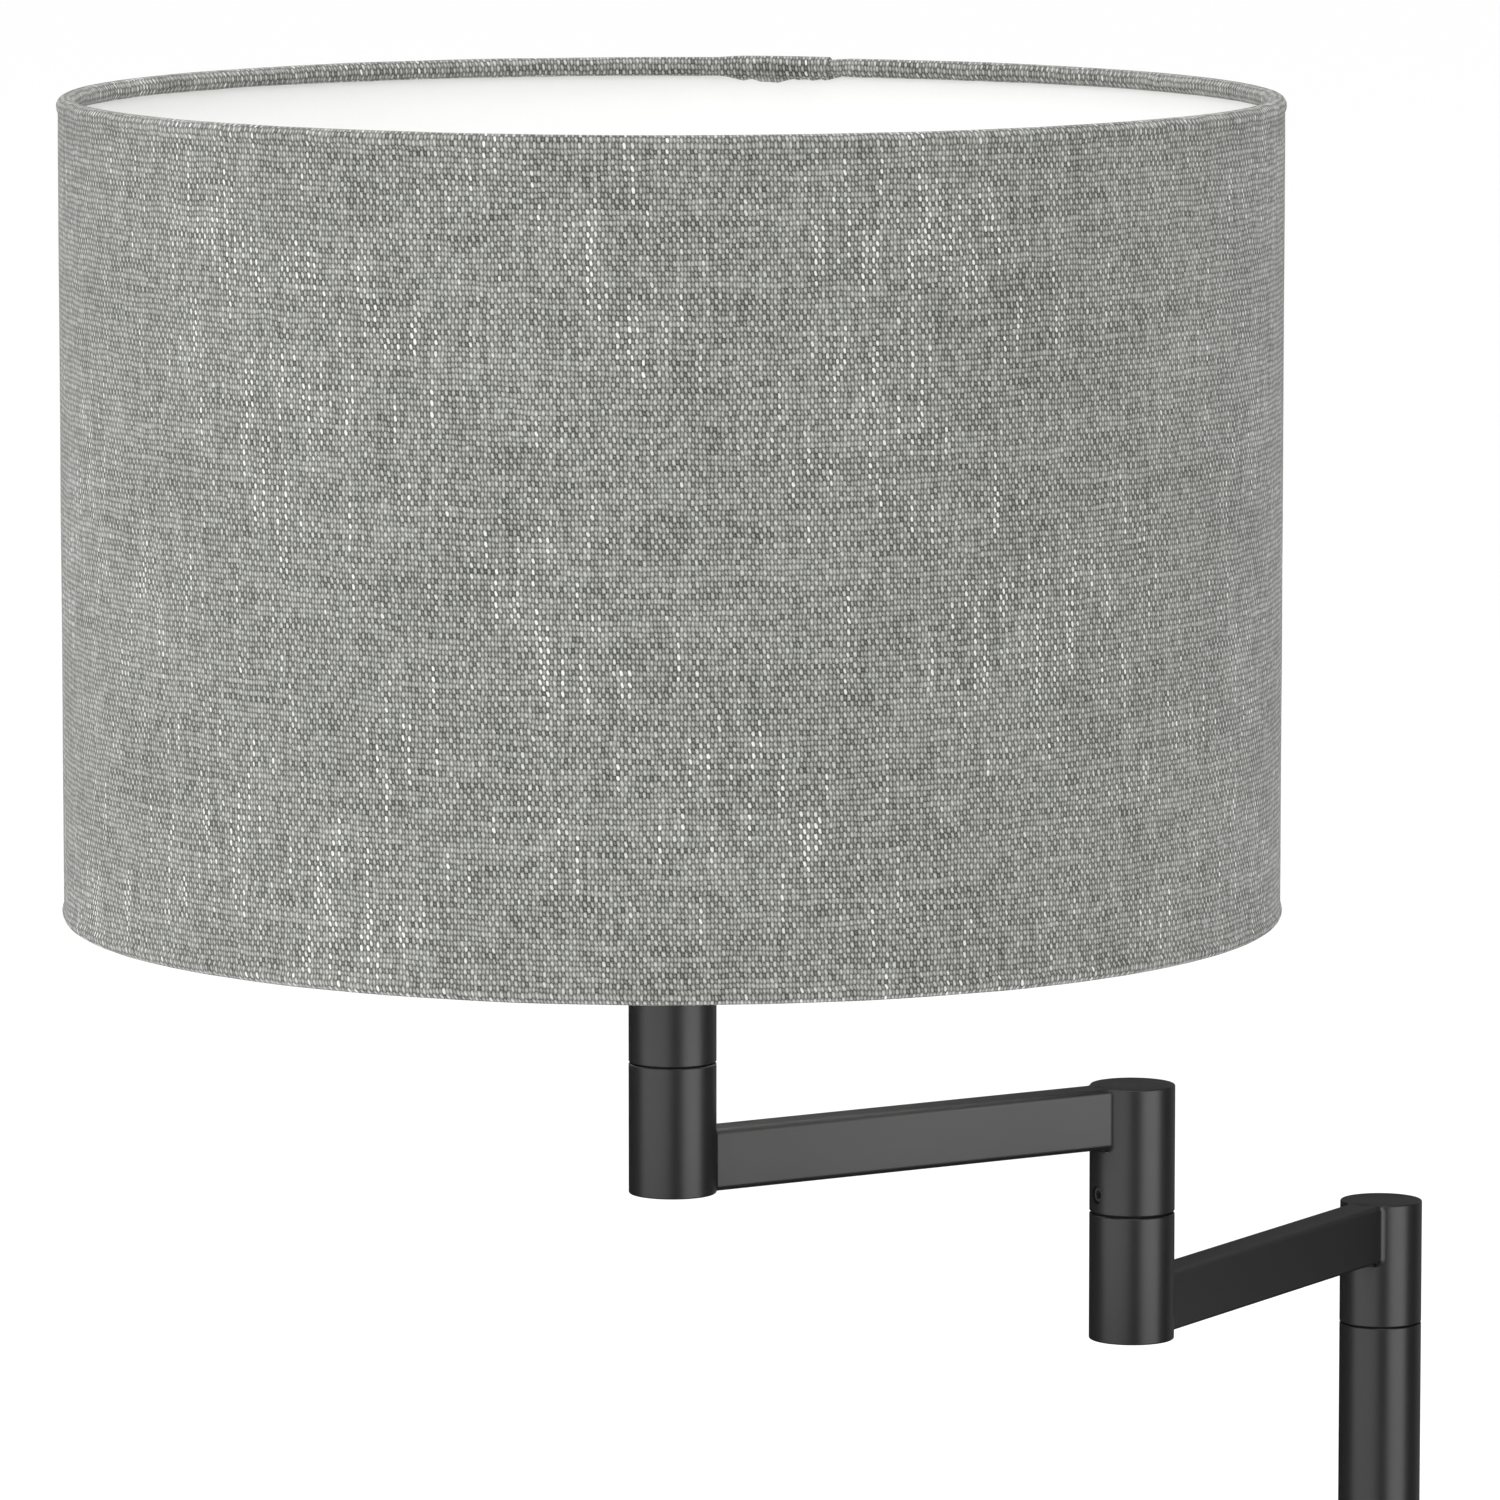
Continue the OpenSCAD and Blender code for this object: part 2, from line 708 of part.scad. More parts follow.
module bulb_cap() {
    rounds = 5;
    color(STEEL) at_head() difference() {
        union() {
            disc(thread_r, bulb_cap_z, housing_z);
            translate([0, 0, contact_z + 1.5])
                cylinder(r1 = 6, r2 = thread_r - 1, h = bulb_cap_z - contact_z - 1.5);
        }
        for (i = [0 : rounds - 1])
            ring(thread_r + 1, thread_r - 0.8, bulb_cap_z + 2 + i * 3.6, bulb_cap_z + 3.6 + i * 3.6);
    }
}

module bulb_housing() {
    color("white") at_head() translate([0, 0, housing_z])
        cylinder(r1 = thread_r + 1, r2 = dome_foot_r, h = housing_h);
}

module bulb_led_board() {
    color([0.9, 0.9, 0.6]) at_head() disc(dome_foot_r - 4, dome_z, dome_z + 1.5);
}

module bulb_dome() {
    color("white") at_head() intersection() {
        translate([0, 0, dome_mid_z]) difference() {
            sphere(r = dome_r);
            sphere(r = dome_r - dome_t);
        }
        disc(dome_r + 1, dome_z, dome_z + 2 * dome_r + 1);
    }
}

felt_pad();
base_plate();
base_weight();
base_cover();
plate_screws();
base_nut();
base_washer();
base_nipple();
cord_gland();
terminal_block();
post_tube();
post_foot_plug();
post_spigot();
post_lead();
lower_arm_washer();
lower_arm_bush();
lower_arm_inner_knuckle();
lower_arm_top_cap();
lower_arm_set_screw();
lower_arm_bar();
lower_arm_outer_knuckle();
lower_arm_bottom_cap();
elbow_spigot();
lower_arm_lead();
upper_arm_washer();
upper_arm_bush();
upper_arm_inner_knuckle();
upper_arm_top_cap();
upper_arm_set_screw();
upper_arm_bar();
upper_arm_outer_knuckle();
upper_arm_bottom_cap();
head_spigot();
upper_arm_lead();
head_washer();
head_bush();
stem_tube();
head_set_screw();
stem_plug();
stem_lead();
holder_nipple();
holder_cap();
holder_skirt();
holder_insulator();
holder_screw_shell();
holder_contact();
shade_ring_lower();
shade_ring_upper();
switch_shaft();
switch_knob();
shade_spider();
shade_bottom_wire();
shade_top_wire();
shade_liner();
shade_linen();
bulb_cap();
bulb_contact();
bulb_housing();
bulb_led_board();
bulb_dome();
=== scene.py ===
# %% [markdown]
# # A swing arm desk lamp, finished in Blender
# The engineering model of the lamp already exists: every tube, spigot, screw and wire has its true
# size and place, and its four swivels turn. This script loads that model and keeps it as a fixed
# frame. Around it go the pieces that people see, with soft edges, welds, cloth and fine surfaces.

# %% Load the frame
import json
import random
from math import acos, atan2, cos, degrees, hypot, pi, radians, sin, sqrt

import bmesh
import bpy
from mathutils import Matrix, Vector


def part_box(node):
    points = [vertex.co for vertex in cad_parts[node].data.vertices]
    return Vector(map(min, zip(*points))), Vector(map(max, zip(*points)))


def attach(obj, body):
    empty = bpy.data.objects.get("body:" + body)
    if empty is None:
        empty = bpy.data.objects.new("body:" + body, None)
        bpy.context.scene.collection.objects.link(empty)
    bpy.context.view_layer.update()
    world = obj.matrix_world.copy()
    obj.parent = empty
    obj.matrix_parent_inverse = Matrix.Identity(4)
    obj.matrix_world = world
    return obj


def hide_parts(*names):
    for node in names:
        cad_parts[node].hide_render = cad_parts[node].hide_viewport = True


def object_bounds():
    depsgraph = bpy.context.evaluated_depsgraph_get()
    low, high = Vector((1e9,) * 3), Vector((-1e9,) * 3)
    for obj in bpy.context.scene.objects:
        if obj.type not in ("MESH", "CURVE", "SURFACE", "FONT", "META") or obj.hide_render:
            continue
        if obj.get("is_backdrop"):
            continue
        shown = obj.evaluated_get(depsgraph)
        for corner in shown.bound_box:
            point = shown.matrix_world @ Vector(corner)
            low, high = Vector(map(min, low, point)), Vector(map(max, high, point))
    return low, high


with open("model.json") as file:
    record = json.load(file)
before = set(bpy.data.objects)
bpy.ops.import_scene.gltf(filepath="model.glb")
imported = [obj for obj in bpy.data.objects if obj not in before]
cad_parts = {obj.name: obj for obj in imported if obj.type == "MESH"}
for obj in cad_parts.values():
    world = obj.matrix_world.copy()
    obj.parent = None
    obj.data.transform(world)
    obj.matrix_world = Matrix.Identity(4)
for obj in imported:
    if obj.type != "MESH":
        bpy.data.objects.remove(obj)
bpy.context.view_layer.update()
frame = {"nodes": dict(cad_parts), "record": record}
MM = 0.001

# %% [markdown]
# Places come from the frame. A node's box gives the swivel axes, the seams between the knuckles and
# the shade's edges, so that each new piece lands exactly where the engineering model has it.

# %% Read the places that the new pieces need


def middle(node):
    """The centre of a node's box."""
    low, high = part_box(node)
    return (low + high) / 2


def base_of(node):
    """The height of a node's lowest point."""
    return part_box(node)[0].z


def top_of(node):
    """The height of a node's highest point."""
    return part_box(node)[1].z


def width_of(node):
    low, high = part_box(node)
    return high.x - low.x


post_axis = middle("post_tube").xy
elbow_axis = middle("lower_arm_outer_knuckle").xy
head_axis = middle("stem_tube").xy
tube_r = width_of("post_tube") / 2
shade_low, shade_high = base_of("shade_linen"), top_of("shade_linen")
shade_r = width_of("shade_linen") / 2
print("post at", tuple(post_axis), "elbow at", tuple(elbow_axis), "head at", tuple(head_axis))

# %% [markdown]
# ## Camera
# The lamp is seen from far away through a long lens, so that the shade's edges stay nearly level and
# the post stays upright. The camera stands three metres from the shade, a little above its top edge,
# and looks slightly down.

# %% Place the camera
CAMERA_SIDE = 22.3 * MM
CAMERA_AWAY = 2.949
CAMERA_ABOVE = 0.190
LOOK_DOWN = radians(7.31)
FOCAL_LENGTH = 248.7

camera_data = bpy.data.cameras.new("camera")
camera_data.lens = FOCAL_LENGTH
camera_data.sensor_width = 36
camera_data.clip_end = 200
camera = bpy.data.objects.new("camera", camera_data)
camera.location = (head_axis.x + CAMERA_SIDE, head_axis.y - CAMERA_AWAY, shade_high + CAMERA_ABOVE)
camera.rotation_euler = (pi / 2 - LOOK_DOWN, 0, 0)
bpy.context.scene.collection.objects.link(camera)
bpy.context.scene.camera = camera
print("camera at", tuple(camera.location))

# %% [markdown]
# ## Light
# Dark satin metal shows what stands around it. Two tall soft boxes, a broad one at the left and a
# narrower one at the right, draw the two bright bands down each tube, and a strip behind draws the
# thin line at the right edge. These are seen only in reflections. The cloth is lit by a fill at the
# left, a box above and a pale surrounding light. Reflections see a dark surrounding instead, which
# keeps the tubes' edges dark. The boxes stand on a circle round the lamp and face its middle.

# %% Set the surroundings and the soft boxes
lamp_middle = Vector((head_axis.x, head_axis.y, (shade_low + shade_high) / 2 - 0.1))


def soft_box(name, bearing, distance, width, height, radiance, lift=0.0):
    """A rectangular light; bearing is counted from the camera's side, positive to the right."""
    data = bpy.data.lights.new(name, "AREA")
    data.shape = "RECTANGLE"
    data.size, data.size_y = width, height
    data.energy = radiance * pi * width * height
    light = bpy.data.objects.new(name, data)
    angle = radians(bearing)
    away = Vector((sin(angle), -cos(angle), 0)) * distance
    light.location = lamp_middle + away + Vector((0, 0, lift))
    aim = lamp_middle - light.location
    light.rotation_euler = aim.to_track_quat("-Z", "Y").to_euler()
    light.visible_camera = False
    bpy.context.scene.collection.objects.link(light)
    return light


left_box = soft_box("left_box", -47, 2.0, 3.55, 2.2, 1.72)
left_fill = soft_box("left_fill", -48, 2.0, 3.4, 2.2, 1.0)
left_fill.visible_glossy = False
right_box = soft_box("right_box", 53, 2.0, 1.9, 2.2, 3.1)
rim_strip = soft_box("rim_strip", 141, 2.0, 1.6, 2.2, 0.22)
back_card = soft_box("back_card", 178, 3.0, 2.0, 0.9, 0.16, lift=0.75)
for reflected_only in (left_box, right_box, rim_strip, back_card):
    reflected_only.visible_diffuse = False
soft_box("top_box", 0, 0.01, 1.6, 1.6, 2.7, lift=1.9)

world = bpy.data.worlds.new("studio")
world.use_nodes = True
bpy.context.scene.world = world
world_nodes, world_links = world.node_tree.nodes, world.node_tree.links
surround = world_nodes["Background"]
surround.inputs["Color"].default_value = (1, 1, 1, 1)
surround.inputs["Strength"].default_value = 1.0
dim = world_nodes.new("ShaderNodeBackground")
dim.inputs["Color"].default_value = (1, 1, 1, 1)
dim.inputs["Strength"].default_value = 0.026
which = world_nodes.new("ShaderNodeLightPath")
mix = world_nodes.new("ShaderNodeMixShader")
world_links.new(which.outputs["Is Glossy Ray"], mix.inputs["Fac"])
world_links.new(surround.outputs["Background"], mix.inputs[1])
world_links.new(dim.outputs["Background"], mix.inputs[2])
world_links.new(mix.outputs["Shader"], world_nodes["World Output"].inputs["Surface"])
bpy.context.scene.view_settings.view_transform = "Standard"

# %% [markdown]
# ## Floor
# The floor is a pale sheet that runs far back, so that the lamp stands before an even ground.

# %% Lay the floor
bpy.ops.object.select_all(action="DESELECT")
bpy.ops.mesh.primitive_plane_add(size=80, location=(0, 0, 0))
floor = bpy.context.object
floor.name = "floor"
floor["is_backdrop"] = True
floor_paint = bpy.data.materials.new("floor_paint")
floor_paint.use_nodes = True
floor_shader = floor_paint.node_tree.nodes["Principled BSDF"]
floor_shader.inputs["Base Color"].default_value = (0.93, 0.93, 0.93, 1)
floor_shader.inputs["Roughness"].default_value = 0.9
floor_shader.inputs["Specular IOR Level"].default_value = 0.1
floor_shader.inputs["Emission Color"].default_value = (1, 1, 1, 1)
floor_shader.inputs["Emission Strength"].default_value = 0.10
floor.data.materials.append(floor_paint)
floor.visible_glossy = False
print("floor is", floor.dimensions.x, "m wide")

# %% [markdown]
# ## How materials are written
# Each material is a small network of nodes around one Principled shader. Three short helpers keep
# the networks readable: one makes the material, one adds a node with its inputs, and one adds a
# calculation. A number that is the same all over is set on the shader's own socket. The imported
# model has a flat placeholder for each finish, and these are removed so that the names are free.

# %% Helpers for materials
for placeholder in list(bpy.data.materials):
    if placeholder != floor_paint:
        bpy.data.materials.remove(placeholder)


def new_material(name, **sockets):
    """A material and its tree; sockets are plain values for the shader's own inputs."""
    material = bpy.data.materials.new(name)
    material.use_nodes = True
    shader = material.node_tree.nodes["Principled BSDF"]
    for key, value in sockets.items():
        shader.inputs[key.replace("_", " ")].default_value = value
    return material, material.node_tree, shader


def add_node(tree, kind, inputs, **settings):
    """Adds a node; an input is a plain value, or another node's output to link from."""
    node = tree.nodes.new("ShaderNode" + kind)
    for key, value in settings.items():
        setattr(node, key, value)
    for key, value in inputs.items():
        if isinstance(value, bpy.types.NodeSocket):
            tree.links.new(value, node.inputs[key])
        else:
            node.inputs[key].default_value = value
    return node


def calc(tree, operation, *values, clamp=False):
    """The result of a calculation on one, two or three values."""
    inputs = dict(enumerate(values))
    return add_node(tree, "Math", inputs, operation=operation, use_clamp=clamp).outputs[0]


def noise(tree, coords, size_mm, detail=3):
    """Smooth noise from 0 to 1, whose blotches are about size_mm across."""
    inputs = {"Vector": coords, "Scale": 1 / (size_mm * MM), "Detail": detail, "Roughness": 0.6}
    return add_node(tree, "TexNoise", inputs).outputs["Fac"]


def blend(tree, amount, first, second):
    """A colour between two colours, by amount from 0 to 1. The colour sockets are 6 and 7."""
    return add_node(tree, "Mix", {0: amount, 6: first, 7: second}, data_type="RGBA").outputs[2]


def spread(tree, value, low, high):
    """Stretches a value of 0 to 1 to run from low to high."""
    inputs = {"Value": value, "To Min": low, "To Max": high}
    return add_node(tree, "MapRange", inputs).outputs["Result"]


def step_between(tree, value, low, high):
    """0 below low, 1 above high, and smooth between."""
    inputs = {"Value": value, "From Min": low, "From Max": high}
    return add_node(tree, "MapRange", inputs, interpolation_type="SMOOTHSTEP").outputs["Result"]


def place_on(tree):
    """The point on the piece, in metres."""
    return add_node(tree, "TexCoord", {}).outputs["Object"]


def add_relief(tree, shader, height, depth_mm, strength=1.0):
    """Raises the surface by height, from 0 to 1, times depth_mm."""
    inputs = {"Height": height, "Distance": depth_mm * MM, "Strength": strength}
    relief = add_node(tree, "Bump", inputs)
    tree.links.new(relief.outputs["Normal"], shader.inputs["Normal"])


print("material helpers ready")

# %% [markdown]
# ## Powder coat
# The arms, post and base are steel with a satin, nearly black powder coat. Powder melts into a skin
# with a very fine orange peel, with a few specks where grains stood proud. The sheen and the tone
# vary a little at random from place to place.

# %% Powder coat


def powder_coat(name, tone, roughness):
    material, tree, shader = new_material(name, Specular_IOR_Level=0.5)
    spot = place_on(tree)
    cloud = noise(tree, spot, 45, 2)
    grain = noise(tree, spot, 0.55, 2)
    speck = step_between(tree, noise(tree, spot, 0.9, 1), 0.71, 0.76)
    mottle = calc(tree, "ADD", calc(tree, "MULTIPLY", cloud, 0.5), calc(tree, "MULTIPLY", grain, 0.5))
    dark = (*(c * 0.86 for c in tone), 1)
    light = (*(c * 1.16 for c in tone), 1)
    coat = blend(tree, mottle, dark, light)
    dusty = (*(c * 2.2 for c in tone), 1)
    colour = blend(tree, calc(tree, "MULTIPLY", speck, 0.35), coat, dusty)
    tree.links.new(colour, shader.inputs["Base Color"])
    sheen = calc(tree, "ADD", spread(tree, cloud, roughness - 0.04, roughness + 0.04),
                 calc(tree, "MULTIPLY", speck, 0.12))
    tree.links.new(sheen, shader.inputs["Roughness"])
    add_relief(tree, shader, calc(tree, "ADD", grain, speck), 0.012, 0.6)
    return material


COAT_TONE = (0.0128, 0.0125, 0.0122)
POWDER = powder_coat("powder_coat", COAT_TONE, 0.36)
print("made", POWDER.name)

# %% [markdown]
# ## Linen
# The shade is covered with a coarse, plain-woven grey linen. Upright warp yarns lie one millimetre
# apart and the level weft yarns one and a half. The weave is worked out from the cloth's own map,
# which is in metres: each yarn has a round profile and rises and dips over its neighbours, and what
# is on top at a point is the higher of the two. The colour is painted darker where the cloth lies
# lower, as painted shade in the hollows between the yarns, so the lower weft is painted darker than
# the warp crowns. Some warp yarns are almost white for a few centimetres, which draws pale broken
# lines down the cloth, and the weft has thick and thin stretches.

# %% Linen
WARP_PITCH = 1.0
WEFT_PITCH = 1.5
# The weft's lower height also paints it darker, as painted shade.
WEFT_DIP = 0.58  # the weft lies lower in the cloth than the tight warp
TWIST = 0.30  # the yarns' twist slants the crowns


def yarn_tone(tree, number, along, stretch_mm, seed):
    """Smooth noise that differs from yarn to yarn and changes slowly along each one."""
    along_yarn = calc(tree, "MULTIPLY", along, 1 / (stretch_mm * MM))
    across = calc(tree, "MULTIPLY_ADD", number, 5.37, seed)
    spot = add_node(tree, "CombineXYZ", {"X": across, "Y": along_yarn, "Z": seed}).outputs[0]
    inputs = {"Vector": spot, "Scale": 1.0, "Detail": 1.0}
    return add_node(tree, "TexNoise", inputs).outputs["Fac"]


def make_linen():
    material, tree, shader = new_material("linen", Roughness=0.92, Specular_IOR_Level=0.2,
                                          Sheen_Weight=0.12, Sheen_Roughness=0.5)
    cloth = add_node(tree, "UVMap", {}, uv_map="weave").outputs["UV"]
    wander = noise(tree, cloth, 9, 3)
    fibre = noise(tree, cloth, 0.35, 3)
    cloud = noise(tree, cloth, 55, 2)
    split = add_node(tree, "SeparateXYZ", {"Vector": cloth}).outputs
    u = calc(tree, "MULTIPLY_ADD", wander, 0.0016, split["X"])
    v = calc(tree, "MULTIPLY_ADD", noise(tree, cloth, 11, 3), 0.0020, split["Y"])
    a = calc(tree, "MULTIPLY", u, 1 / (WARP_PITCH * MM))
    b = calc(tree, "MULTIPLY", v, 1 / (WEFT_PITCH * MM))
    warp, weft = calc(tree, "FLOOR", a), calc(tree, "FLOOR", b)
    over = calc(tree, "SINE", calc(tree, "MULTIPLY", calc(tree, "ADD", b, warp), pi))
    under = calc(tree, "SINE", calc(tree, "MULTIPLY", calc(tree, "ADD", a, weft), -pi))

    def from_middle(position):
        return calc(tree, "SUBTRACT", calc(tree, "FRACT", position), 0.5)

    def yarn_height(position, along, wave):
        """The round, slanted profile across a yarn times its rise and dip along the yarn."""
        across = calc(tree, "MULTIPLY_ADD", from_middle(along), TWIST, from_middle(position))
        roundness = calc(tree, "MULTIPLY_ADD", calc(tree, "MULTIPLY", across, across), -2.9, 1.0)
        return calc(tree, "MULTIPLY", roundness, calc(tree, "MULTIPLY_ADD", wave, 0.5, 0.5))

    warp_height = yarn_height(a, b, over)
    weft_height = calc(tree, "MULTIPLY", yarn_height(b, a, under), WEFT_DIP)
    height = calc(tree, "MAXIMUM", warp_height, weft_height)
    warp_tone = yarn_tone(tree, warp, v, 30, 3.1)
    weft_tone = yarn_tone(tree, weft, u, 24, 8.7)
    warp_on_top = calc(tree, "GREATER_THAN", warp_height, weft_height)
    tone = add_node(tree, "Mix", {0: warp_on_top, 2: weft_tone, 3: warp_tone}, data_type="FLOAT")

    crossing = add_node(tree, "CombineXYZ", {"X": warp, "Y": weft}).outputs[0]
    crown = add_node(tree, "TexWhiteNoise", {"Vector": crossing}, noise_dimensions="2D")
    crown_tone = crown.outputs["Value"]
    # Painted shade: the colour runs from dark in the low hollows between the yarns to light on the high
    # crowns, and random yarn, fibre, cloud and crossing tones are added to it.
    painted_shade_dark, painted_shade_light = (0.045, 0.047, 0.040, 1), (0.575, 0.581, 0.556, 1)
    tone_and_painted_shade = calc(tree, "MULTIPLY", height, 0.95)
    for part, amount in ((tone.outputs[0], 0.50), (fibre, 0.42), (cloud, 0.14), (crown_tone, 0.24)):
        tone_and_painted_shade = calc(tree, "ADD", tone_and_painted_shade, calc(tree, "MULTIPLY_ADD", part, amount, -amount / 2))
    ground = blend(tree, calc(tree, "ADD", tone_and_painted_shade, -0.135, clamp=True), painted_shade_dark, painted_shade_light)

    pale_yarn = yarn_tone(tree, warp, v, 22, 21.3)
    patch = step_between(tree, noise(tree, cloth, 70, 2), 0.40, 0.66)
    threshold = calc(tree, "MULTIPLY_ADD", patch, -0.13, 0.66)
    streak = calc(tree, "MULTIPLY", calc(tree, "SUBTRACT", pale_yarn, threshold), 9, clamp=True)
    on_crown = step_between(tree, calc(tree, "MULTIPLY", warp_height, warp_on_top), 0.35, 0.75)
    white = calc(tree, "MULTIPLY", calc(tree, "MULTIPLY", streak, on_crown), 0.8)
    colour = blend(tree, white, ground, (0.80, 0.80, 0.78, 1))
    tree.links.new(colour, shader.inputs["Base Color"])
    loft = calc(tree, "MULTIPLY_ADD", fibre, 0.35, height)
    add_relief(tree, shader, loft, 0.28, 0.9)
    return material


LINEN = make_linen()
print("made", LINEN.name, "with", len(LINEN.node_tree.nodes), "nodes")

# %% [markdown]
# ## The other finishes
# What can't be seen from outside still has its real stuff: zinc-plated steel, cast iron, turned
# brass, black oxide, felt, acetal, porcelain-like plastic and PVC. Each recipe has a colour, a
# second colour that comes in blotches or grains of a real size, a roughness that varies with them,
# and a fine relief.

# %% A recipe for plain finishes


def plain_finish(name, first, second, grain_mm, roughness, vary=0.06, relief_mm=0.01, stretch=(1, 1, 1),
                 sharp=False, **sockets):
    """A surface with grains of grain_mm in a second colour. stretch draws them out long, as
    turning marks are."""
    material, tree, shader = new_material(name, **sockets)
    spot = place_on(tree)
    stretched = add_node(tree, "Mapping", {"Vector": spot, "Scale": stretch}).outputs[0]
    grain = noise(tree, stretched, grain_mm, 3)
    cloud = noise(tree, spot, grain_mm * 22, 2)
    amount = calc(tree, "MULTIPLY_ADD", grain, 0.6, calc(tree, "MULTIPLY", cloud, 0.4))
    if sharp:
        amount = step_between(tree, amount, 0.42, 0.58)
    tree.links.new(blend(tree, amount, (*first, 1), (*second, 1)), shader.inputs["Base Color"])
    tree.links.new(spread(tree, amount, roughness - vary, roughness + vary), shader.inputs["Roughness"])
    add_relief(tree, shader, grain, relief_mm, 0.7)
    return material


BASE_COAT = powder_coat("base_coat", COAT_TONE, 0.38)
LINER = plain_finish("liner", (0.90, 0.90, 0.89), (0.95, 0.95, 0.94), 0.8, 0.55, relief_mm=0.004,
                     Specular_IOR_Level=0.3)
WIRE_PAINT = plain_finish("wire_steel", (0.78, 0.78, 0.76), (0.86, 0.86, 0.84), 0.7, 0.38,
                          relief_mm=0.012)
ZINC = plain_finish("plain_steel", (0.50, 0.51, 0.53), (0.66, 0.66, 0.67), 0.5, 0.34, sharp=True,
                    Metallic=1.0)
BLACK_OXIDE = plain_finish("black_steel", (0.018, 0.018, 0.020), (0.045, 0.045, 0.048), 0.25, 0.34)
IRON = plain_finish("cast_iron", (0.07, 0.068, 0.066), (0.15, 0.145, 0.14), 1.1, 0.72, relief_mm=0.12)
BRASS = plain_finish("brass", (0.58, 0.40, 0.15), (0.80, 0.60, 0.28), 0.6, 0.26, stretch=(0.2, 0.2, 6),
                     Metallic=1.0)
FELT = plain_finish("felt", (0.010, 0.010, 0.011), (0.045, 0.045, 0.048), 0.35, 0.96, vary=0.03,
                    relief_mm=0.25, Sheen_Weight=0.5, Specular_IOR_Level=0.1)
ACETAL = plain_finish("washer", (0.010, 0.010, 0.010), (0.022, 0.022, 0.023), 0.4, 0.42)
HOLDER = plain_finish("holder_plastic", (0.014, 0.014, 0.014), (0.026, 0.026, 0.027), 0.45, 0.36,
                      relief_mm=0.015)
CERAMIC = plain_finish("ceramic", (0.72, 0.70, 0.64), (0.84, 0.82, 0.77), 0.9, 0.3, Coat_Weight=0.3)
PVC = plain_finish("lead_sheath", (0.70, 0.70, 0.69), (0.82, 0.82, 0.81), 1.5, 0.42)
BULB_WHITE = plain_finish("bulb_white", (0.80, 0.80, 0.78), (0.88, 0.88, 0.87), 0.6, 0.4,
                          relief_mm=0.012)
DIFFUSER = plain_finish("bulb_diffuser", (0.86, 0.86, 0.83), (0.94, 0.94, 0.92), 1.2, 0.3,
                        relief_mm=0.006, Subsurface_Weight=0.3, Subsurface_Scale=0.004)
BOARD = plain_finish("led_board", (0.80, 0.80, 0.70), (0.90, 0.90, 0.82), 2.0, 0.3, sharp=True)
FINISHES = {m.name: m for m in (
    POWDER, BASE_COAT, LINEN, LINER, WIRE_PAINT, ZINC, BLACK_OXIDE, IRON, BRASS, FELT, ACETAL, HOLDER,
    CERAMIC, PVC, BULB_WHITE, DIFFUSER, BOARD)}
slot_of = {part["node"]: part["material_slot"] for part in frame["record"]["subparts"]}
for node, cad_piece in frame["nodes"].items():
    cad_piece.data.materials.clear()
    cad_piece.data.materials.append(FINISHES[slot_of[node]])
print(len(FINISHES), "finishes on", len(slot_of), "nodes")

# %% [markdown]
# ## How pieces are modelled
# Most parts of a lamp come off a lathe, so most pieces start as a circle that is extruded ring by
# ring along the outline of a cut through the part. Corners are then broken with a bevel, because a
# real edge always catches a thin line of light. Each piece is made on the world's Z axis, and moved
# to its place at the end, with that place applied to its mesh.

# %% Helpers for modelling


def make_active(piece):
    if bpy.context.object and bpy.context.object.mode != "OBJECT":
        bpy.ops.object.mode_set(mode="OBJECT")
    bpy.ops.object.select_all(action="DESELECT")
    piece.select_set(True)
    bpy.context.view_layer.objects.active = piece


def edit(piece, kind, action="DESELECT"):
    """Opens a piece in edit mode, with all or nothing selected."""
    make_active(piece)
    bpy.ops.object.mode_set(mode="EDIT")
    bpy.ops.mesh.select_mode(type=kind)
    bpy.ops.mesh.select_all(action=action)


def pick(piece, kind, wanted):
    """Selects the faces or edges that pass a test, in edit mode."""
    edit(piece, kind)
    shape = bmesh.from_edit_mesh(piece.data)
    for part in (shape.faces if kind == "FACE" else shape.edges):
        if wanted(part):
            part.select_set(True)
    bmesh.update_edit_mesh(piece.data)


def leave():
    """Turns every face outwards and goes back to object mode."""
    bpy.ops.mesh.select_all(action="SELECT")
    bpy.ops.mesh.normals_make_consistent(inside=False)
    bpy.ops.object.mode_set(mode="OBJECT")


def modify(piece, kind, **settings):
    """Adds a modifier and applies it."""
    modifier = piece.modifiers.new(kind.lower(), kind)
    for key, value in settings.items():
        setattr(modifier, key, value)
    make_active(piece)
    bpy.ops.object.modifier_apply(modifier=modifier.name)


def bevel(piece, width_mm, segments=3, angle=35):
    modify(piece, "BEVEL", width=width_mm * MM, segments=segments, limit_method="ANGLE",
           angle_limit=radians(angle), use_clamp_overlap=True)


def cut(piece, cutter):
    """Takes the cutter's shape out of the piece, and removes the cutter."""
    modify(piece, "BOOLEAN", operation="DIFFERENCE", solver="EXACT", object=cutter)
    bpy.data.objects.remove(cutter)


def turn(name, outline, sides=128, closed=True):
    """A turned piece from (radius, height) points in mm. A closed piece is solid and ends in flat
    faces; otherwise the outline goes round and joins its start, as for a tube."""
    radius, height = outline[0]
    bpy.ops.object.select_all(action="DESELECT")
    bpy.ops.mesh.primitive_circle_add(vertices=sides, radius=radius * MM, location=(0, 0, 0),
                                      fill_type="NGON" if closed else "NOTHING")
    piece = bpy.context.object
    piece.name = name
    edit(piece, "FACE" if closed else "EDGE", "SELECT")
    bpy.ops.transform.translate(value=(0, 0, height * MM))
    steps = outline[1:] if closed else outline[1:] + outline[:1]
    for next_radius, next_height in steps:
        bpy.ops.mesh.extrude_region()
        grow = next_radius / radius
        bpy.ops.transform.resize(value=(grow, grow, 1), center_override=(0, 0, 0))
        bpy.ops.transform.translate(value=(0, 0, (next_height - height) * MM))
        radius, height = next_radius, next_height
    if not closed:
        bpy.ops.mesh.select_all(action="SELECT")
        bpy.ops.mesh.remove_doubles(threshold=0.005 * MM)
    leave()
    return piece


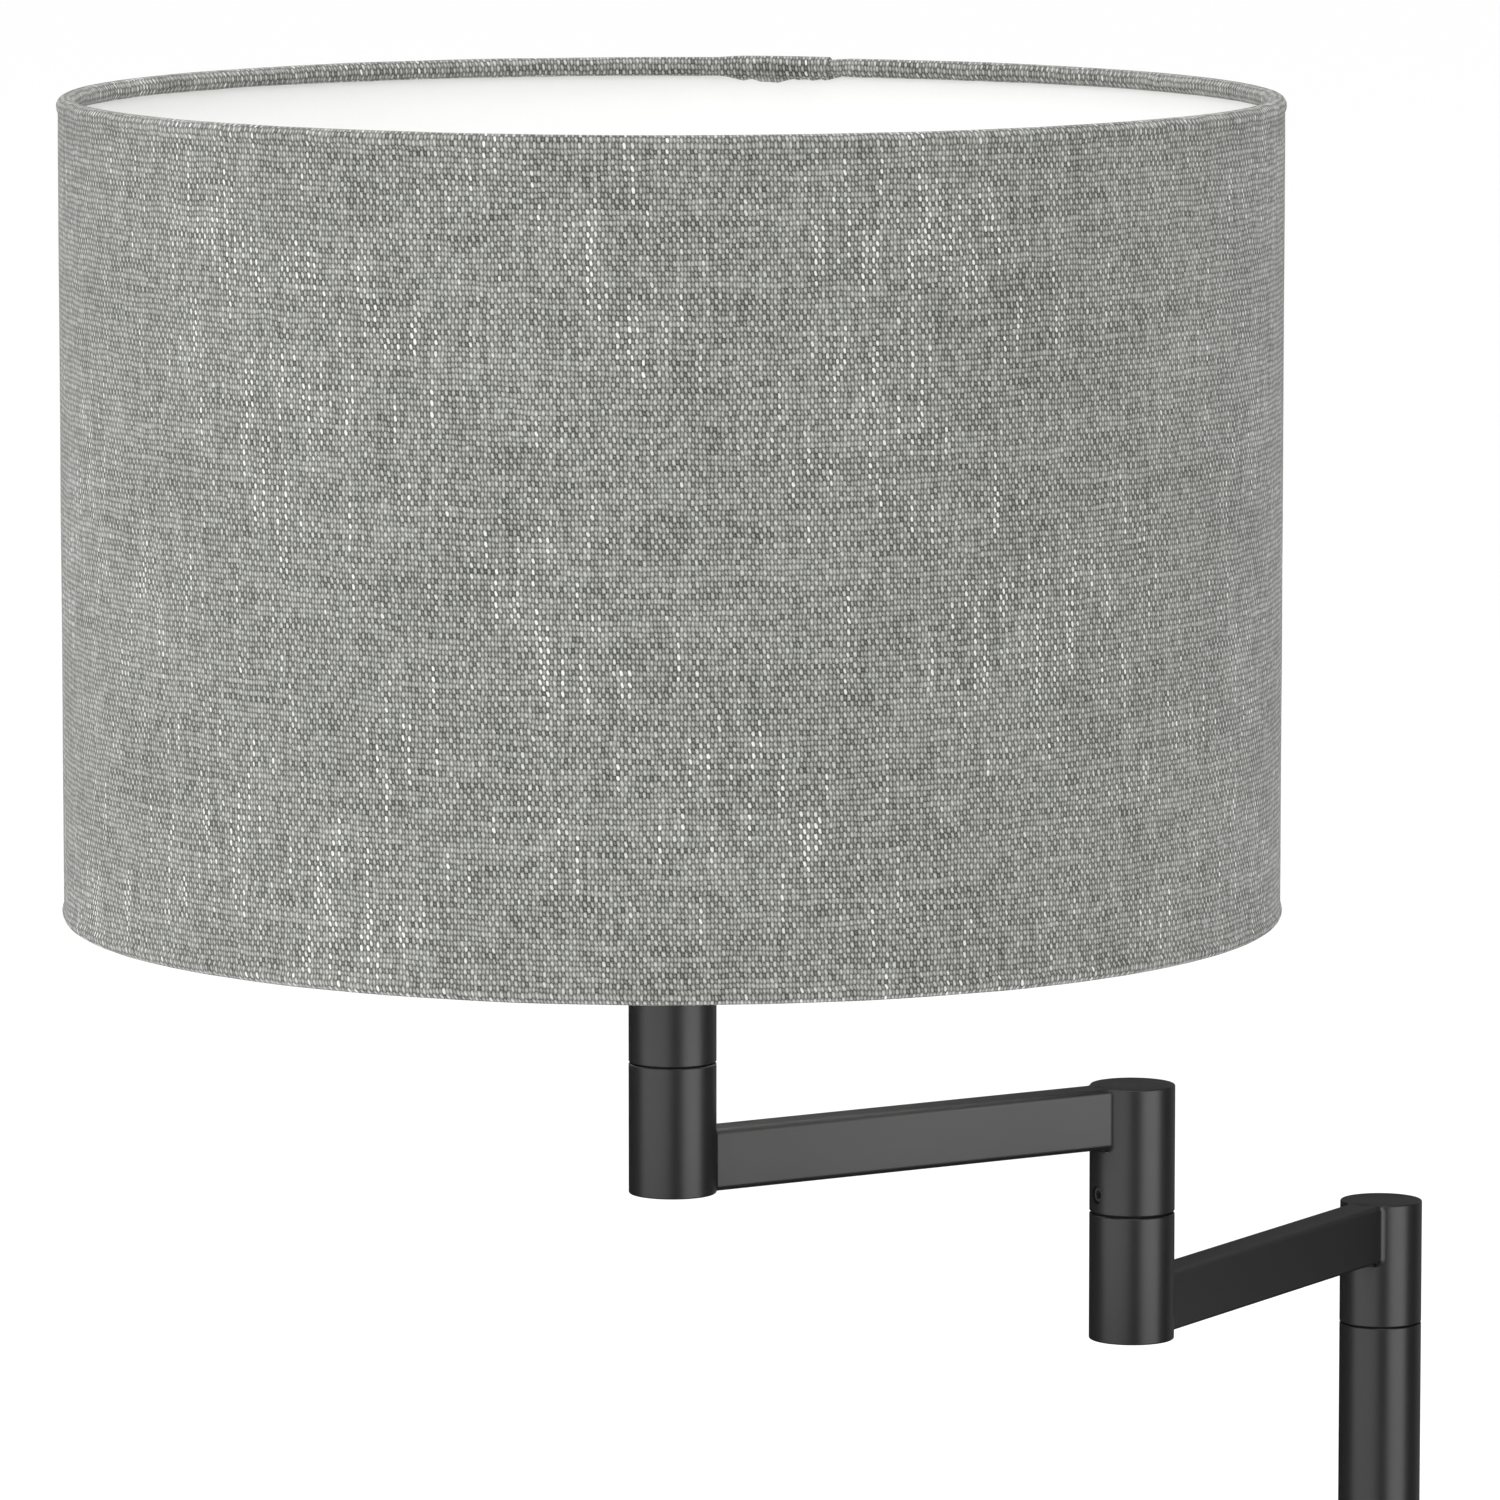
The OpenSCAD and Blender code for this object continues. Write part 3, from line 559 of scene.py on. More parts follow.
def arc(radius, height, size, start, end, steps=8):
    """Outline points on an arc about (radius, height), from one angle to another in degrees."""
    angles = [radians(start + (end - start) * i / steps) for i in range(steps + 1)]
    return [(radius + size * cos(t), height + size * sin(t)) for t in angles]


def place(piece, at, heading=0.0, tilt=None):
    """Tilts the piece if asked, turns it about Z to its heading, moves it, and applies all that."""
    make_active(piece)
    piece.rotation_euler = (*(tilt or (0, 0)), heading)
    piece.location = at
    bpy.ops.object.transform_apply(location=True, rotation=True, scale=True)


def finish_piece(piece, body, slot, *stands_for, smooth=35):
    """Shades a piece, gives it its finish, and ties it to its body in the frame."""
    make_active(piece)
    bpy.ops.object.shade_smooth_by_angle(angle=radians(smooth))
    piece.data.materials.clear()
    piece.data.materials.append(FINISHES[slot])
    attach(piece, body)
    if stands_for:
        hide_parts(*stands_for)
    return piece


def duplicate(piece, name):
    """A copy with its own mesh."""
    twin = piece.copy()
    twin.data = piece.data.copy()
    twin.name = name
    bpy.context.scene.collection.objects.link(twin)
    return twin


print("modelling helpers ready")

# %% [markdown]
# ## Where the arms are
# Both arms are the same part. One is modelled lying along +X with its lower swivel seam at height
# zero, and each copy is turned and lifted to its place. The headings come from the swivel axes.

# %% Read the arms' sizes
REACH = (elbow_axis - post_axis).length / MM
TUBE = tube_r / MM
WALL = 1.5
SEAM_GAP = 0.4
post_seam = top_of("post_tube")
elbow_seam = top_of("lower_arm_outer_knuckle")
head_seam = top_of("upper_arm_outer_knuckle")
BAR_LOW = (base_of("lower_arm_bar") - post_seam) / MM
BAR_HIGH = (top_of("lower_arm_bar") - post_seam) / MM
OUTER_TOP = (elbow_seam - post_seam) / MM
BAR_HALF = 6.0
BAR_ROUND = 1.8
SCREW_HEIGHT = 6.2
SCREW_RADIUS = 2.5
arm_heading = {"lower_arm": atan2(*reversed(elbow_axis - post_axis)),
               "upper_arm": atan2(*reversed(head_axis - elbow_axis))}
arm_start = {"lower_arm": (*post_axis, post_seam), "upper_arm": (*elbow_axis, elbow_seam)}
print("reach", round(REACH, 2), "mm, headings", [round(degrees(v), 1) for v in arm_heading.values()])

# %% [markdown]
# ## Knuckles
# A knuckle is a short tube, closed by a disc pressed in flush and painted over, so it is one smooth
# cup from outside. The inner knuckle of an arm stands open end down on the spigot below it, and
# carries the set screw in a drilled hole. The outer knuckle is open at the top.

# %% Model the two knuckles


def drill(piece, heading, height):
    """A hole for a set screw, straight in through the wall."""
    bpy.ops.object.select_all(action="DESELECT")
    bpy.ops.mesh.primitive_cylinder_add(vertices=48, radius=(SCREW_RADIUS + 0.1) * MM, depth=6 * MM)
    drill_bit = bpy.context.object
    direction = Vector((cos(heading), sin(heading), 0))
    start = direction * (TUBE - 1) * MM + Vector((0, 0, height * MM))
    place(drill_bit, start, heading, tilt=(0, pi / 2))
    cut(piece, drill_bit)


def inner_knuckle(name, top_edge, foot_edge, screw_heading):
    bore, high = TUBE - WALL, BAR_HIGH
    foot = [(TUBE - foot_edge, SEAM_GAP), (TUBE, SEAM_GAP + foot_edge)]
    crest = arc(TUBE - top_edge, high - top_edge, top_edge, 0, 90, 4)
    piece = turn(name, [(bore, high - 2), (bore, SEAM_GAP), *foot, *crest], sides=160)
    drill(piece, screw_heading, SCREW_HEIGHT)
    return piece


def outer_knuckle(name, edge):
    bore = TUBE - WALL
    mouth = [(TUBE - 0.3, OUTER_TOP), (TUBE, OUTER_TOP - 0.3)]
    sole = arc(TUBE - edge, BAR_LOW + edge, edge, 0, -90, 4)
    piece = turn(name, [(bore, BAR_LOW + 2), (bore, OUTER_TOP), *mouth, *sole], sides=160)
    place(piece, (REACH * MM, 0, 0))
    return piece


print("knuckles: outside radius", round(TUBE, 2), "mm")

# %% [markdown]
# ## Bars
# Each bar is rectangular steel tube with rounded long edges, coped to fit the round knuckles and
# welded to them. The paint fills the weld into a small hollow curve. So the end of the bar flares:
# each ring near the knuckle stands further out from the bar, and lies on the knuckle's round wall.
# The bar's top is flush with the inner knuckle's top, and there the flare stays level.

# %% Model the bar and its flared ends
FLARE_STEPS = 5


def add_flare(bar, end, fillet, sink):
    """Extrudes one end of the bar to its knuckle, swelling like a weld. end is -1 or +1."""
    wall_x = TUBE if end < 0 else REACH - TUBE
    pick(bar, "FACE", lambda face: face.normal.x * end > 0.9)
    for step in range(FLARE_STEPS + 1):
        bpy.ops.mesh.extrude_region()
        turned = [pi / 2 * (step + k) / FLARE_STEPS for k in (0, 1)]
        move = (sin(turned[1]) - sin(turned[0])) * fillet if step < FLARE_STEPS else sink
        bpy.ops.transform.translate(value=(end * move * MM, 0, 0))
    leave()
    middle_z = (BAR_LOW + BAR_HIGH) / 2
    core = Vector((0, BAR_HALF - BAR_ROUND, (BAR_HIGH - BAR_LOW) / 2 - BAR_ROUND))
    knuckle_x = 0 if end < 0 else REACH
    for vertex in bar.data.vertices:
        x, y, z = (value / MM for value in vertex.co)
        from_wall = (x - wall_x) * -end
        if from_wall > fillet + 0.01:
            continue
        rise = min(1.0, max(0.0, 1 - from_wall / fillet))
        swell = fillet * (1 - sqrt(max(0.0, 1 - rise * rise)))
        inside = Vector((0, min(core.y, max(-core.y, y)),
                         middle_z + min(core.z, max(-core.z, z - middle_z))))
        outwards = (Vector((0, y, z)) - inside).normalized()
        y, z = y + outwards.y * swell, z + outwards.z * swell
        z = min(z, BAR_HIGH) if end < 0 else max(z, BAR_LOW)
        from_axis = abs(x - knuckle_x)
        curve = sqrt(max(0.0, TUBE * TUBE - y * y)) - TUBE
        vertex.co = Vector((knuckle_x - end * (from_axis + curve), y, z)) * MM


def make_bar(name):
    fillets = {-1: 1.1, 1: 0.6}
    low_x, high_x = TUBE + fillets[-1], REACH - TUBE - fillets[1]
    bpy.ops.object.select_all(action="DESELECT")
    bpy.ops.mesh.primitive_cube_add(size=1, location=(0, 0, 0))
    bar = bpy.context.object
    bar.name = name
    bar.scale = Vector((high_x - low_x, 2 * BAR_HALF, BAR_HIGH - BAR_LOW)) * MM
    place(bar, Vector(((low_x + high_x) / 2, 0, (BAR_LOW + BAR_HIGH) / 2)) * MM)
    pick(bar, "EDGE", lambda edge: abs((edge.verts[0].co - edge.verts[1].co).normalized().x) > 0.9)
    bpy.ops.mesh.bevel(offset=BAR_ROUND * MM, segments=6, affect="EDGES")
    leave()
    for end, fillet in fillets.items():
        add_flare(bar, end, fillet, 0.44)
    return bar


print("bar from", round(BAR_LOW, 2), "to", round(BAR_HIGH, 2), "mm above its arm's seam")

# %% [markdown]
# ## Set screws and washers
# A set screw is a headless screw with a hexagon socket. Its face sits just under the knuckle's
# surface. It is turned standing up, its socket is cut out with a hexagonal prism, and it is then laid
# over.

# %% Model the set screw, the washer and both arms


SOCKET_HALF = 1.25  # half the width across the hexagon's flats


def make_set_screw(name):
    face, shank = TUBE - 0.7, 7.9
    screw = turn(name, [(1.4, 6.6), (1.4, shank), (SCREW_RADIUS, shank), (SCREW_RADIUS, face - 0.4),
                        (SCREW_RADIUS - 0.4, face)], sides=48)
    bpy.ops.object.select_all(action="DESELECT")
    bpy.ops.mesh.primitive_cylinder_add(vertices=6, radius=SOCKET_HALF / cos(pi / 6) * MM, depth=4 * MM,
                                        location=(0, 0, face * MM))
    cut(screw, bpy.context.object)
    return screw


def set_screw(name, axis_point, seam, heading):
    screw = make_set_screw(name)
    place(screw, (0, 0, 0), 0, tilt=(0, pi / 2))
    place(screw, (*axis_point, seam + SCREW_HEIGHT * MM), heading)
    return screw


def make_washer(name):
    low, high, inner, outer = 0.02, SEAM_GAP, 7.55, TUBE - 0.9
    return turn(name, [(inner, low), (outer - 0.1, low), (outer, (low + high) / 2),
                       (outer - 0.1, high), (inner, high)], closed=False)


bar_master = make_bar("arm_bar")
outer_master = outer_knuckle("arm_outer_knuckle", 0.45)
screw_side = {"lower_arm": pi, "upper_arm": 0.0}
foot_edges = {"lower_arm": 0.25, "upper_arm": 0.45}
for arm in ("lower_arm", "upper_arm"):
    inner = inner_knuckle(arm + "_knuckle_cup", 0.45, foot_edges[arm], screw_side[arm])
    outer = duplicate(outer_master, arm + "_knuckle_socket")
    bar = duplicate(bar_master, arm + "_welded_bar")
    washer = make_washer(arm + "_friction_washer")
    for piece in (inner, outer, bar, washer):
        place(piece, arm_start[arm], arm_heading[arm])
    finish_piece(inner, arm, "powder_coat", arm + "_inner_knuckle", arm + "_top_cap")
    finish_piece(outer, arm, "powder_coat", arm + "_outer_knuckle", arm + "_bottom_cap")
    finish_piece(bar, arm, "powder_coat", arm + "_bar")
    finish_piece(washer, arm, "washer", arm + "_washer")
    screw = set_screw(arm + "_socket_screw", arm_start[arm][:2], arm_start[arm][2],
                      arm_heading[arm] + screw_side[arm])
    finish_piece(screw, arm, "black_steel", arm + "_set_screw")
bpy.data.objects.remove(bar_master)
bpy.data.objects.remove(outer_master)

# %% [markdown]
# ## Post and stem
# Both are plain lengths of the same one-inch tube, with the sharp edge taken off each end. The stem
# also has the head's set screw hole at the back.

# %% Model the post and the stem
tube_bore = TUBE - WALL


def make_tube(name, low, high, low_edge, high_edge):
    """A length of tube between two heights in mm, its outer edges broken."""
    outline = [(tube_bore, low), (TUBE - low_edge, low), (TUBE, low + low_edge),
               (TUBE, high - high_edge), (TUBE - high_edge, high), (tube_bore, high)]
    return turn(name, outline, sides=160, closed=False)


post = make_tube("post", base_of("post_tube") / MM, post_seam / MM, 0.3, 0.25)
place(post, (*post_axis, 0))
finish_piece(post, "stand", "powder_coat", "post_tube")
stem_top = top_of("stem_tube") / MM
stem = make_tube("stem", head_seam / MM + SEAM_GAP, stem_top, 0.25, 0.3)
drill(stem, pi / 2, head_seam / MM + SCREW_HEIGHT)
place(stem, (*head_axis, 0))
finish_piece(stem, "head", "powder_coat", "stem_tube")
head_screw = set_screw("head_socket_screw", head_axis, head_seam, pi / 2)
finish_piece(head_screw, "head", "black_steel", "head_set_screw")
head_washer = make_washer("head_friction_washer")
place(head_washer, (*head_axis, head_seam))
finish_piece(head_washer, "head", "washer", "head_washer")
print("post", round((post_seam - base_of("post_tube")) / MM, 1), "mm long")

# %% [markdown]
# ## Base
# The base is a round steel cover, pressed from sheet with a soft edge, over a cast weight. A felt pad
# a little smaller than the cover lies under it, and a gland for the cord sits at the back.

# %% Model the base cover, the felt and the gland
base_r = width_of("base_cover") / 2 / MM
base_high, cover_low = top_of("base_cover") / MM, base_of("base_cover") / MM
SHEET_WALL, COVER_ROUND = 1.2, 4.0
PIPE_HOLE = 5.1  # radius of the hole for the threaded pipe in the middle
GLAND_BORE, GLAND_NECK, GLAND_FLANGE = 3.6, 5.0, 6.8  # radii
inner_r = base_r - SHEET_WALL
cover = turn("pressed_cover", [
    (PIPE_HOLE, base_high - SHEET_WALL),
    *reversed(arc(inner_r - COVER_ROUND + SHEET_WALL, base_high - COVER_ROUND,
                  COVER_ROUND - SHEET_WALL, 0, 90)),
    (inner_r, cover_low), (base_r - 0.3, cover_low), (base_r, cover_low + 0.3),
    *arc(base_r - COVER_ROUND, base_high - COVER_ROUND, COVER_ROUND, 0, 90, 10),
    (PIPE_HOLE, base_high)], sides=256, closed=False)
gland_z = middle("cord_gland").z / MM
bpy.ops.object.select_all(action="DESELECT")
bpy.ops.mesh.primitive_cylinder_add(vertices=64, radius=(GLAND_NECK + 0.05) * MM, depth=20 * MM,
                                    location=(0, base_r * MM, gland_z * MM), rotation=(pi / 2, 0, 0))
cut(cover, bpy.context.object)
finish_piece(cover, "stand", "base_coat", "base_cover")

felt_r = width_of("felt_pad") / 2 / MM
felt = turn("felt_disc", [(felt_r - 0.6, 0), *arc(felt_r - 0.35, 0.35, 0.35, -60, 60, 4),
                          (felt_r - 0.4, top_of("felt_pad") / MM)], sides=192)
finish_piece(felt, "stand", "felt", "felt_pad")

gland_low, gland_high = (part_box("cord_gland")[k].y / MM for k in (0, 1))
gland = turn("gland", [
    (GLAND_BORE, gland_low), (GLAND_NECK, gland_low), (GLAND_NECK, base_r), (GLAND_FLANGE, base_r),
    (GLAND_FLANGE, base_r + 0.9), *arc(5.4, base_r + 1.1, 1.4, 0, 90, 5),
    (GLAND_BORE + 0.5, gland_high), (GLAND_BORE, gland_high - 0.5)], sides=64, closed=False)
place(gland, (0, 0, gland_z * MM), 0, tilt=(-pi / 2, 0))
finish_piece(gland, "stand", "holder_plastic", "cord_gland")
print("base", round(2 * base_r), "mm across")

# %% [markdown]
# ## Lampholder
# The holder is moulded from black plastic: a cap with a sloping shoulder on top of the stem, and a
# threaded skirt that two notched rings run on. The rings clamp the shade's fitter between them. The
# skirt's thread is a small ridge that climbs round it, made with a Screw modifier. The switch knob
# and the rings are fluted so that fingers can grip them.

# %% Model the holder's cap and its threaded skirt
cap_r = width_of("holder_cap") / 2 / MM
cap_low, cap_high = base_of("holder_cap") / MM, top_of("holder_cap") / MM
skirt_r = width_of("holder_skirt") / 2 / MM
skirt_high = top_of("holder_skirt") / MM
SKIRT_BORE = 15.6
SHOULDER = 7.0
PITCH, THREAD_TURNS, THREAD_DEPTH = 2.5, 4, 0.5
neck = TUBE - 1.0

CAP_WALL, CAP_HOLE = 2.0, 5.0
holder_cap = turn("holder_cup", [
    (CAP_HOLE, cap_low), (neck, cap_low), (neck + 1.4, cap_low + 1.0),
    (cap_r - 0.9, cap_low + SHOULDER - 0.9), (cap_r, cap_low + SHOULDER + 0.9),
    (cap_r, cap_high - 0.5), (cap_r - 0.5, cap_high), (cap_r - CAP_WALL, cap_high),
    (cap_r - CAP_WALL, cap_low + SHOULDER + 1), (neck - 1, cap_low + CAP_WALL),
    (CAP_HOLE, cap_low + CAP_WALL)], sides=160, closed=False)
place(holder_cap, (*head_axis, 0))
bevel(holder_cap, 0.35, 2, angle=20)
finish_piece(holder_cap, "head", "holder_plastic", "holder_cap")

thread_low = top_of("shade_ring_upper") / MM + 1.2
root_r = skirt_r - THREAD_DEPTH
skirt = turn("threaded_skirt", [
    (SKIRT_BORE, cap_high), (skirt_r, cap_high), (skirt_r, thread_low), (root_r, thread_low + 0.5),
    (root_r, skirt_high - 0.8), (root_r - 0.8, skirt_high), (SKIRT_BORE + 0.4, skirt_high),
    (SKIRT_BORE, skirt_high - 0.4)], sides=160, closed=False)
bpy.ops.object.select_all(action="DESELECT")
bpy.ops.mesh.primitive_plane_add(size=1, location=(0, 0, 0), rotation=(pi / 2, 0, 0))
thread = bpy.context.object
RIDGE_FOOT, RIDGE_TAPER, RIDGE_SINK = 1.2, 0.6, 0.2
thread.scale = ((THREAD_DEPTH + RIDGE_SINK) * MM, RIDGE_FOOT * MM, 1)
ridge_z = (thread_low + 1.2) * MM
place(thread, ((skirt_r - (THREAD_DEPTH + RIDGE_SINK) / 2) * MM, 0, ridge_z), 0, tilt=(pi / 2, 0))
crest_x = max(v.co.x for v in thread.data.vertices)
for vertex in thread.data.vertices:
    if vertex.co.x > crest_x - 0.1 * MM:
        vertex.co.z += RIDGE_TAPER * (ridge_z - vertex.co.z)
modify(thread, "SCREW", angle=2 * pi, screw_offset=PITCH * MM, iterations=THREAD_TURNS, steps=96,
       render_steps=96, axis="Z", use_normal_calculate=True)
edit(thread, "EDGE", "SELECT")
bpy.ops.mesh.fill_holes(sides=4)
leave()
make_active(skirt)
thread.select_set(True)
bpy.ops.object.join()
place(skirt, (*head_axis, 0))
finish_piece(skirt, "head", "holder_plastic", "holder_skirt")
print("skirt", round(2 * skirt_r, 1), "mm across, thread pitch", PITCH)

# %% Model the notched rings and the knob


def flute(piece, count, depth_mm, share, from_radius_mm):
    """Presses round flutes into the outside of a turned piece that stands on the Z axis."""
    for vertex in piece.data.vertices:
        radius = hypot(vertex.co.x, vertex.co.y)
        if radius < from_radius_mm * MM:
            continue
        turned = (atan2(vertex.co.y, vertex.co.x) / (2 * pi) * count) % 1.0
        across = min(turned, 1 - turned) * 2 / share
        if across < 1:
            press = depth_mm * MM * sqrt(1 - across * across) / radius
            vertex.co.x *= 1 - press
            vertex.co.y *= 1 - press


ring_out, RING_NOTCHES = width_of("shade_ring_lower") / 2 / MM, 16
for node in ("shade_ring_lower", "shade_ring_upper"):
    low, high = base_of(node) / MM, top_of(node) / MM
    ring = turn(node + "_grip", [
        (skirt_r + 0.02, low), (ring_out - 0.6, low), (ring_out, low + 0.6), (ring_out, high - 0.6),
        (ring_out - 0.6, high), (skirt_r + 3, high), (skirt_r + 0.02, high)], sides=384, closed=False)
    flute(ring, RING_NOTCHES, 0.8, 0.26, ring_out - 1)
    place(ring, (*head_axis, 0))
    finish_piece(ring, "head", "holder_plastic", node)

knob_low, knob_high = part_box("switch_knob")
KNOB_R, KNOB_LENGTH, KNOB_FLUTES = 8.0, (knob_high.y - knob_low.y) / MM, 12
knob = turn("fluted_knob", [
    (2.6, 0), (KNOB_R - 0.5, 0), (KNOB_R, 0.5), (KNOB_R, KNOB_LENGTH - 2.4),
    *arc(KNOB_R - 2.0, KNOB_LENGTH - 2.2, 2.0, 0, 78, 5), (KNOB_R - 2.6, KNOB_LENGTH - 0.35),
    (3.0, KNOB_LENGTH - 0.6)], sides=288)
flute(knob, KNOB_FLUTES, 0.75, 0.5, KNOB_R - 2.2)
place(knob, (head_axis.x, knob_high.y, (knob_low.z + knob_high.z) / 2), 0, tilt=(pi / 2, 0))
finish_piece(knob, "switch", "holder_plastic", "switch_knob", smooth=28)
print("rings with", RING_NOTCHES, "notches, knob with", KNOB_FLUTES, "flutes")

# %% [markdown]
# ## Spider
# The spider carries the shade: a flat ring that sits on the holder, and three rods that run down and
# out to the shade's lower wire. Each rod is welded at both ends, and the white paint rounds the weld.

# %% Model the spider
fitter_low = top_of("shade_ring_lower") / MM
fitter_high = base_of("shade_ring_upper") / MM
FITTER_OUT = ring_out + 2.0
ROD_R = 1.6
SPOKES = 3
FIRST_SPOKE = radians(30)
WIRE_R = 2.0
wire_z = base_of("shade_bottom_wire") / MM + WIRE_R
wire_path = width_of("shade_bottom_wire") / 2 / MM - WIRE_R

spider = turn("spider_fitter", [(skirt_r + 0.3, fitter_low + 0.01), (FITTER_OUT, fitter_low + 0.01),
                                (FITTER_OUT, fitter_high - 0.01), (skirt_r + 0.3, fitter_high - 0.01)],
              sides=160, closed=False)
bevel(spider, 0.3, 2)
inner_end = Vector((FITTER_OUT - 0.3, 0, (fitter_low + fitter_high) / 2))
outer_end = Vector((wire_path - 1.9, 0, wire_z + 0.45))
lean = atan2(outer_end.x - inner_end.x, outer_end.z - inner_end.z)
rod_length = (outer_end - inner_end).length


def weld_bead(size, at):
    """A small lump of weld metal, not quite round."""
    bpy.ops.object.select_all(action="DESELECT")
    bpy.ops.mesh.primitive_ico_sphere_add(subdivisions=3, radius=1.0 * MM, location=(0, 0, 0))
    bead = bpy.context.object
    for vertex in bead.data.vertices:
        lump = 1 + 0.10 * sin(vertex.co.x * 2600 + size[0]) * cos(vertex.co.y * 2100)
        vertex.co = Vector([c * s * lump for c, s in zip(vertex.co, size)])
    place(bead, Vector(at) * MM)
    return bead


for index in range(SPOKES):
    rod = turn("spoke", [(ROD_R - 0.2, 0), (ROD_R, 0.3), (ROD_R, rod_length - 0.3),
                         (ROD_R - 0.2, rod_length)], sides=24)
    place(rod, inner_end * MM, 0, tilt=(0, lean))
    beads = [weld_bead((2.3, 2.4, 1.5), inner_end + Vector((0.6, 0, -0.2))),
             weld_bead((1.5, 2.3, 2.2), outer_end + Vector((-0.3, 0, 0)))]
    make_active(rod)
    for bead in beads:
        bead.select_set(True)
    bpy.ops.object.join()
    place(rod, (0, 0, 0), FIRST_SPOKE + 2 * pi * index / SPOKES)
    make_active(spider)
    rod.select_set(True)
    bpy.ops.object.join()
place(spider, (*head_axis, 0))
finish_piece(spider, "head", "wire_steel", "shade_spider")
print("spokes", round(rod_length, 1), "mm long")

# %% [markdown]
# ## Bulb
# A frosted LED bulb: a tapered white housing, and a round diffuser that sits in it with a fine gap.

# %% Model the bulb's housing and dome
housing_low, housing_high = base_of("bulb_housing") / MM, top_of("bulb_housing") / MM
housing_top_r = width_of("bulb_housing") / 2 / MM
dome_r = width_of("bulb_dome") / 2 / MM
dome_mid = top_of("bulb_dome") / MM - dome_r
foot_angle = -degrees(acos(housing_top_r / dome_r))
housing = turn("bulb_body", [
    (13.6, housing_low), (14.1, housing_low + 0.5), (14.1, housing_low + 3), (14.9, housing_low + 7),
    (housing_top_r - 3.2, housing_high - 14), (housing_top_r - 0.9, housing_high - 4),
    (housing_top_r, housing_high - 0.7), (housing_top_r - 0.4, housing_high - 0.05)], sides=96)
bevel(housing, 0.8, 3, angle=6)
place(housing, (*head_axis, 0))
finish_piece(housing, "head", "bulb_white", "bulb_housing", smooth=50)

DOME_WALL = 1.2
CREST_ANGLE = 86
dome = turn("bulb_diffuser_dome", [
    *arc(0, dome_mid, dome_r, foot_angle, CREST_ANGLE, 26),
    *reversed(arc(0, dome_mid, dome_r - DOME_WALL, foot_angle, CREST_ANGLE, 26))],
    sides=96, closed=False)
# the outline left a small tunnel between the two shells at the crest: its wall goes, and each is closed
pick(dome, "FACE", lambda face: abs(face.normal.z) < 0.5
     and hypot(*face.calc_center_median().xy) < 3 * MM)
bpy.ops.mesh.delete(type="FACE")
for shell_r in (dome_r, dome_r - DOME_WALL):
    crest = dome_mid + shell_r * sin(radians(CREST_ANGLE))
    pick(dome, "EDGE", lambda edge: all(abs(v.co.z / MM - crest) < 0.02 for v in edge.verts))
    bpy.ops.mesh.edge_face_add()
leave()
place(dome, (*head_axis, 0))
finish_piece(dome, "head", "bulb_diffuser", "bulb_dome", smooth=60)
print("bulb", round(2 * dome_r), "mm across")

# %% [markdown]
# ## Sheets rolled to a drum
# The shade's cloth and its liner start as flat sheets on a bench, as they do in a workshop. A grid
# lies along X, its rows follow a cut through the sheet, and one end is moved out or in a little
# where the ends will lap. A bend all the way round then closes the drum, and a thickness is added.
# The cloth's map is taken from the flat sheet, in metres, so that the weave isn't stretched.

# %% Helpers for rolled sheets
ONE_OUT = 1.06  # thicknesses to move an end so that it clears the other one
RUN_IN = 6  # mm over which an end eases into the lap


def sheet_rows(outline):
    """For each outline point in mm: its place, the length run so far, and the outward direction."""
    rows, run = [], 0.0
    for index, point in enumerate(outline):
        before, after = outline[max(0, index - 1)], outline[min(len(outline) - 1, index + 1)]
        along = Vector((after[0] - before[0], after[1] - before[1])).normalized()
        if index:
            run += hypot(point[0] - before[0], point[1] - before[1])
        rows.append((point, run, Vector((along.y, -along.x))))
    return rows


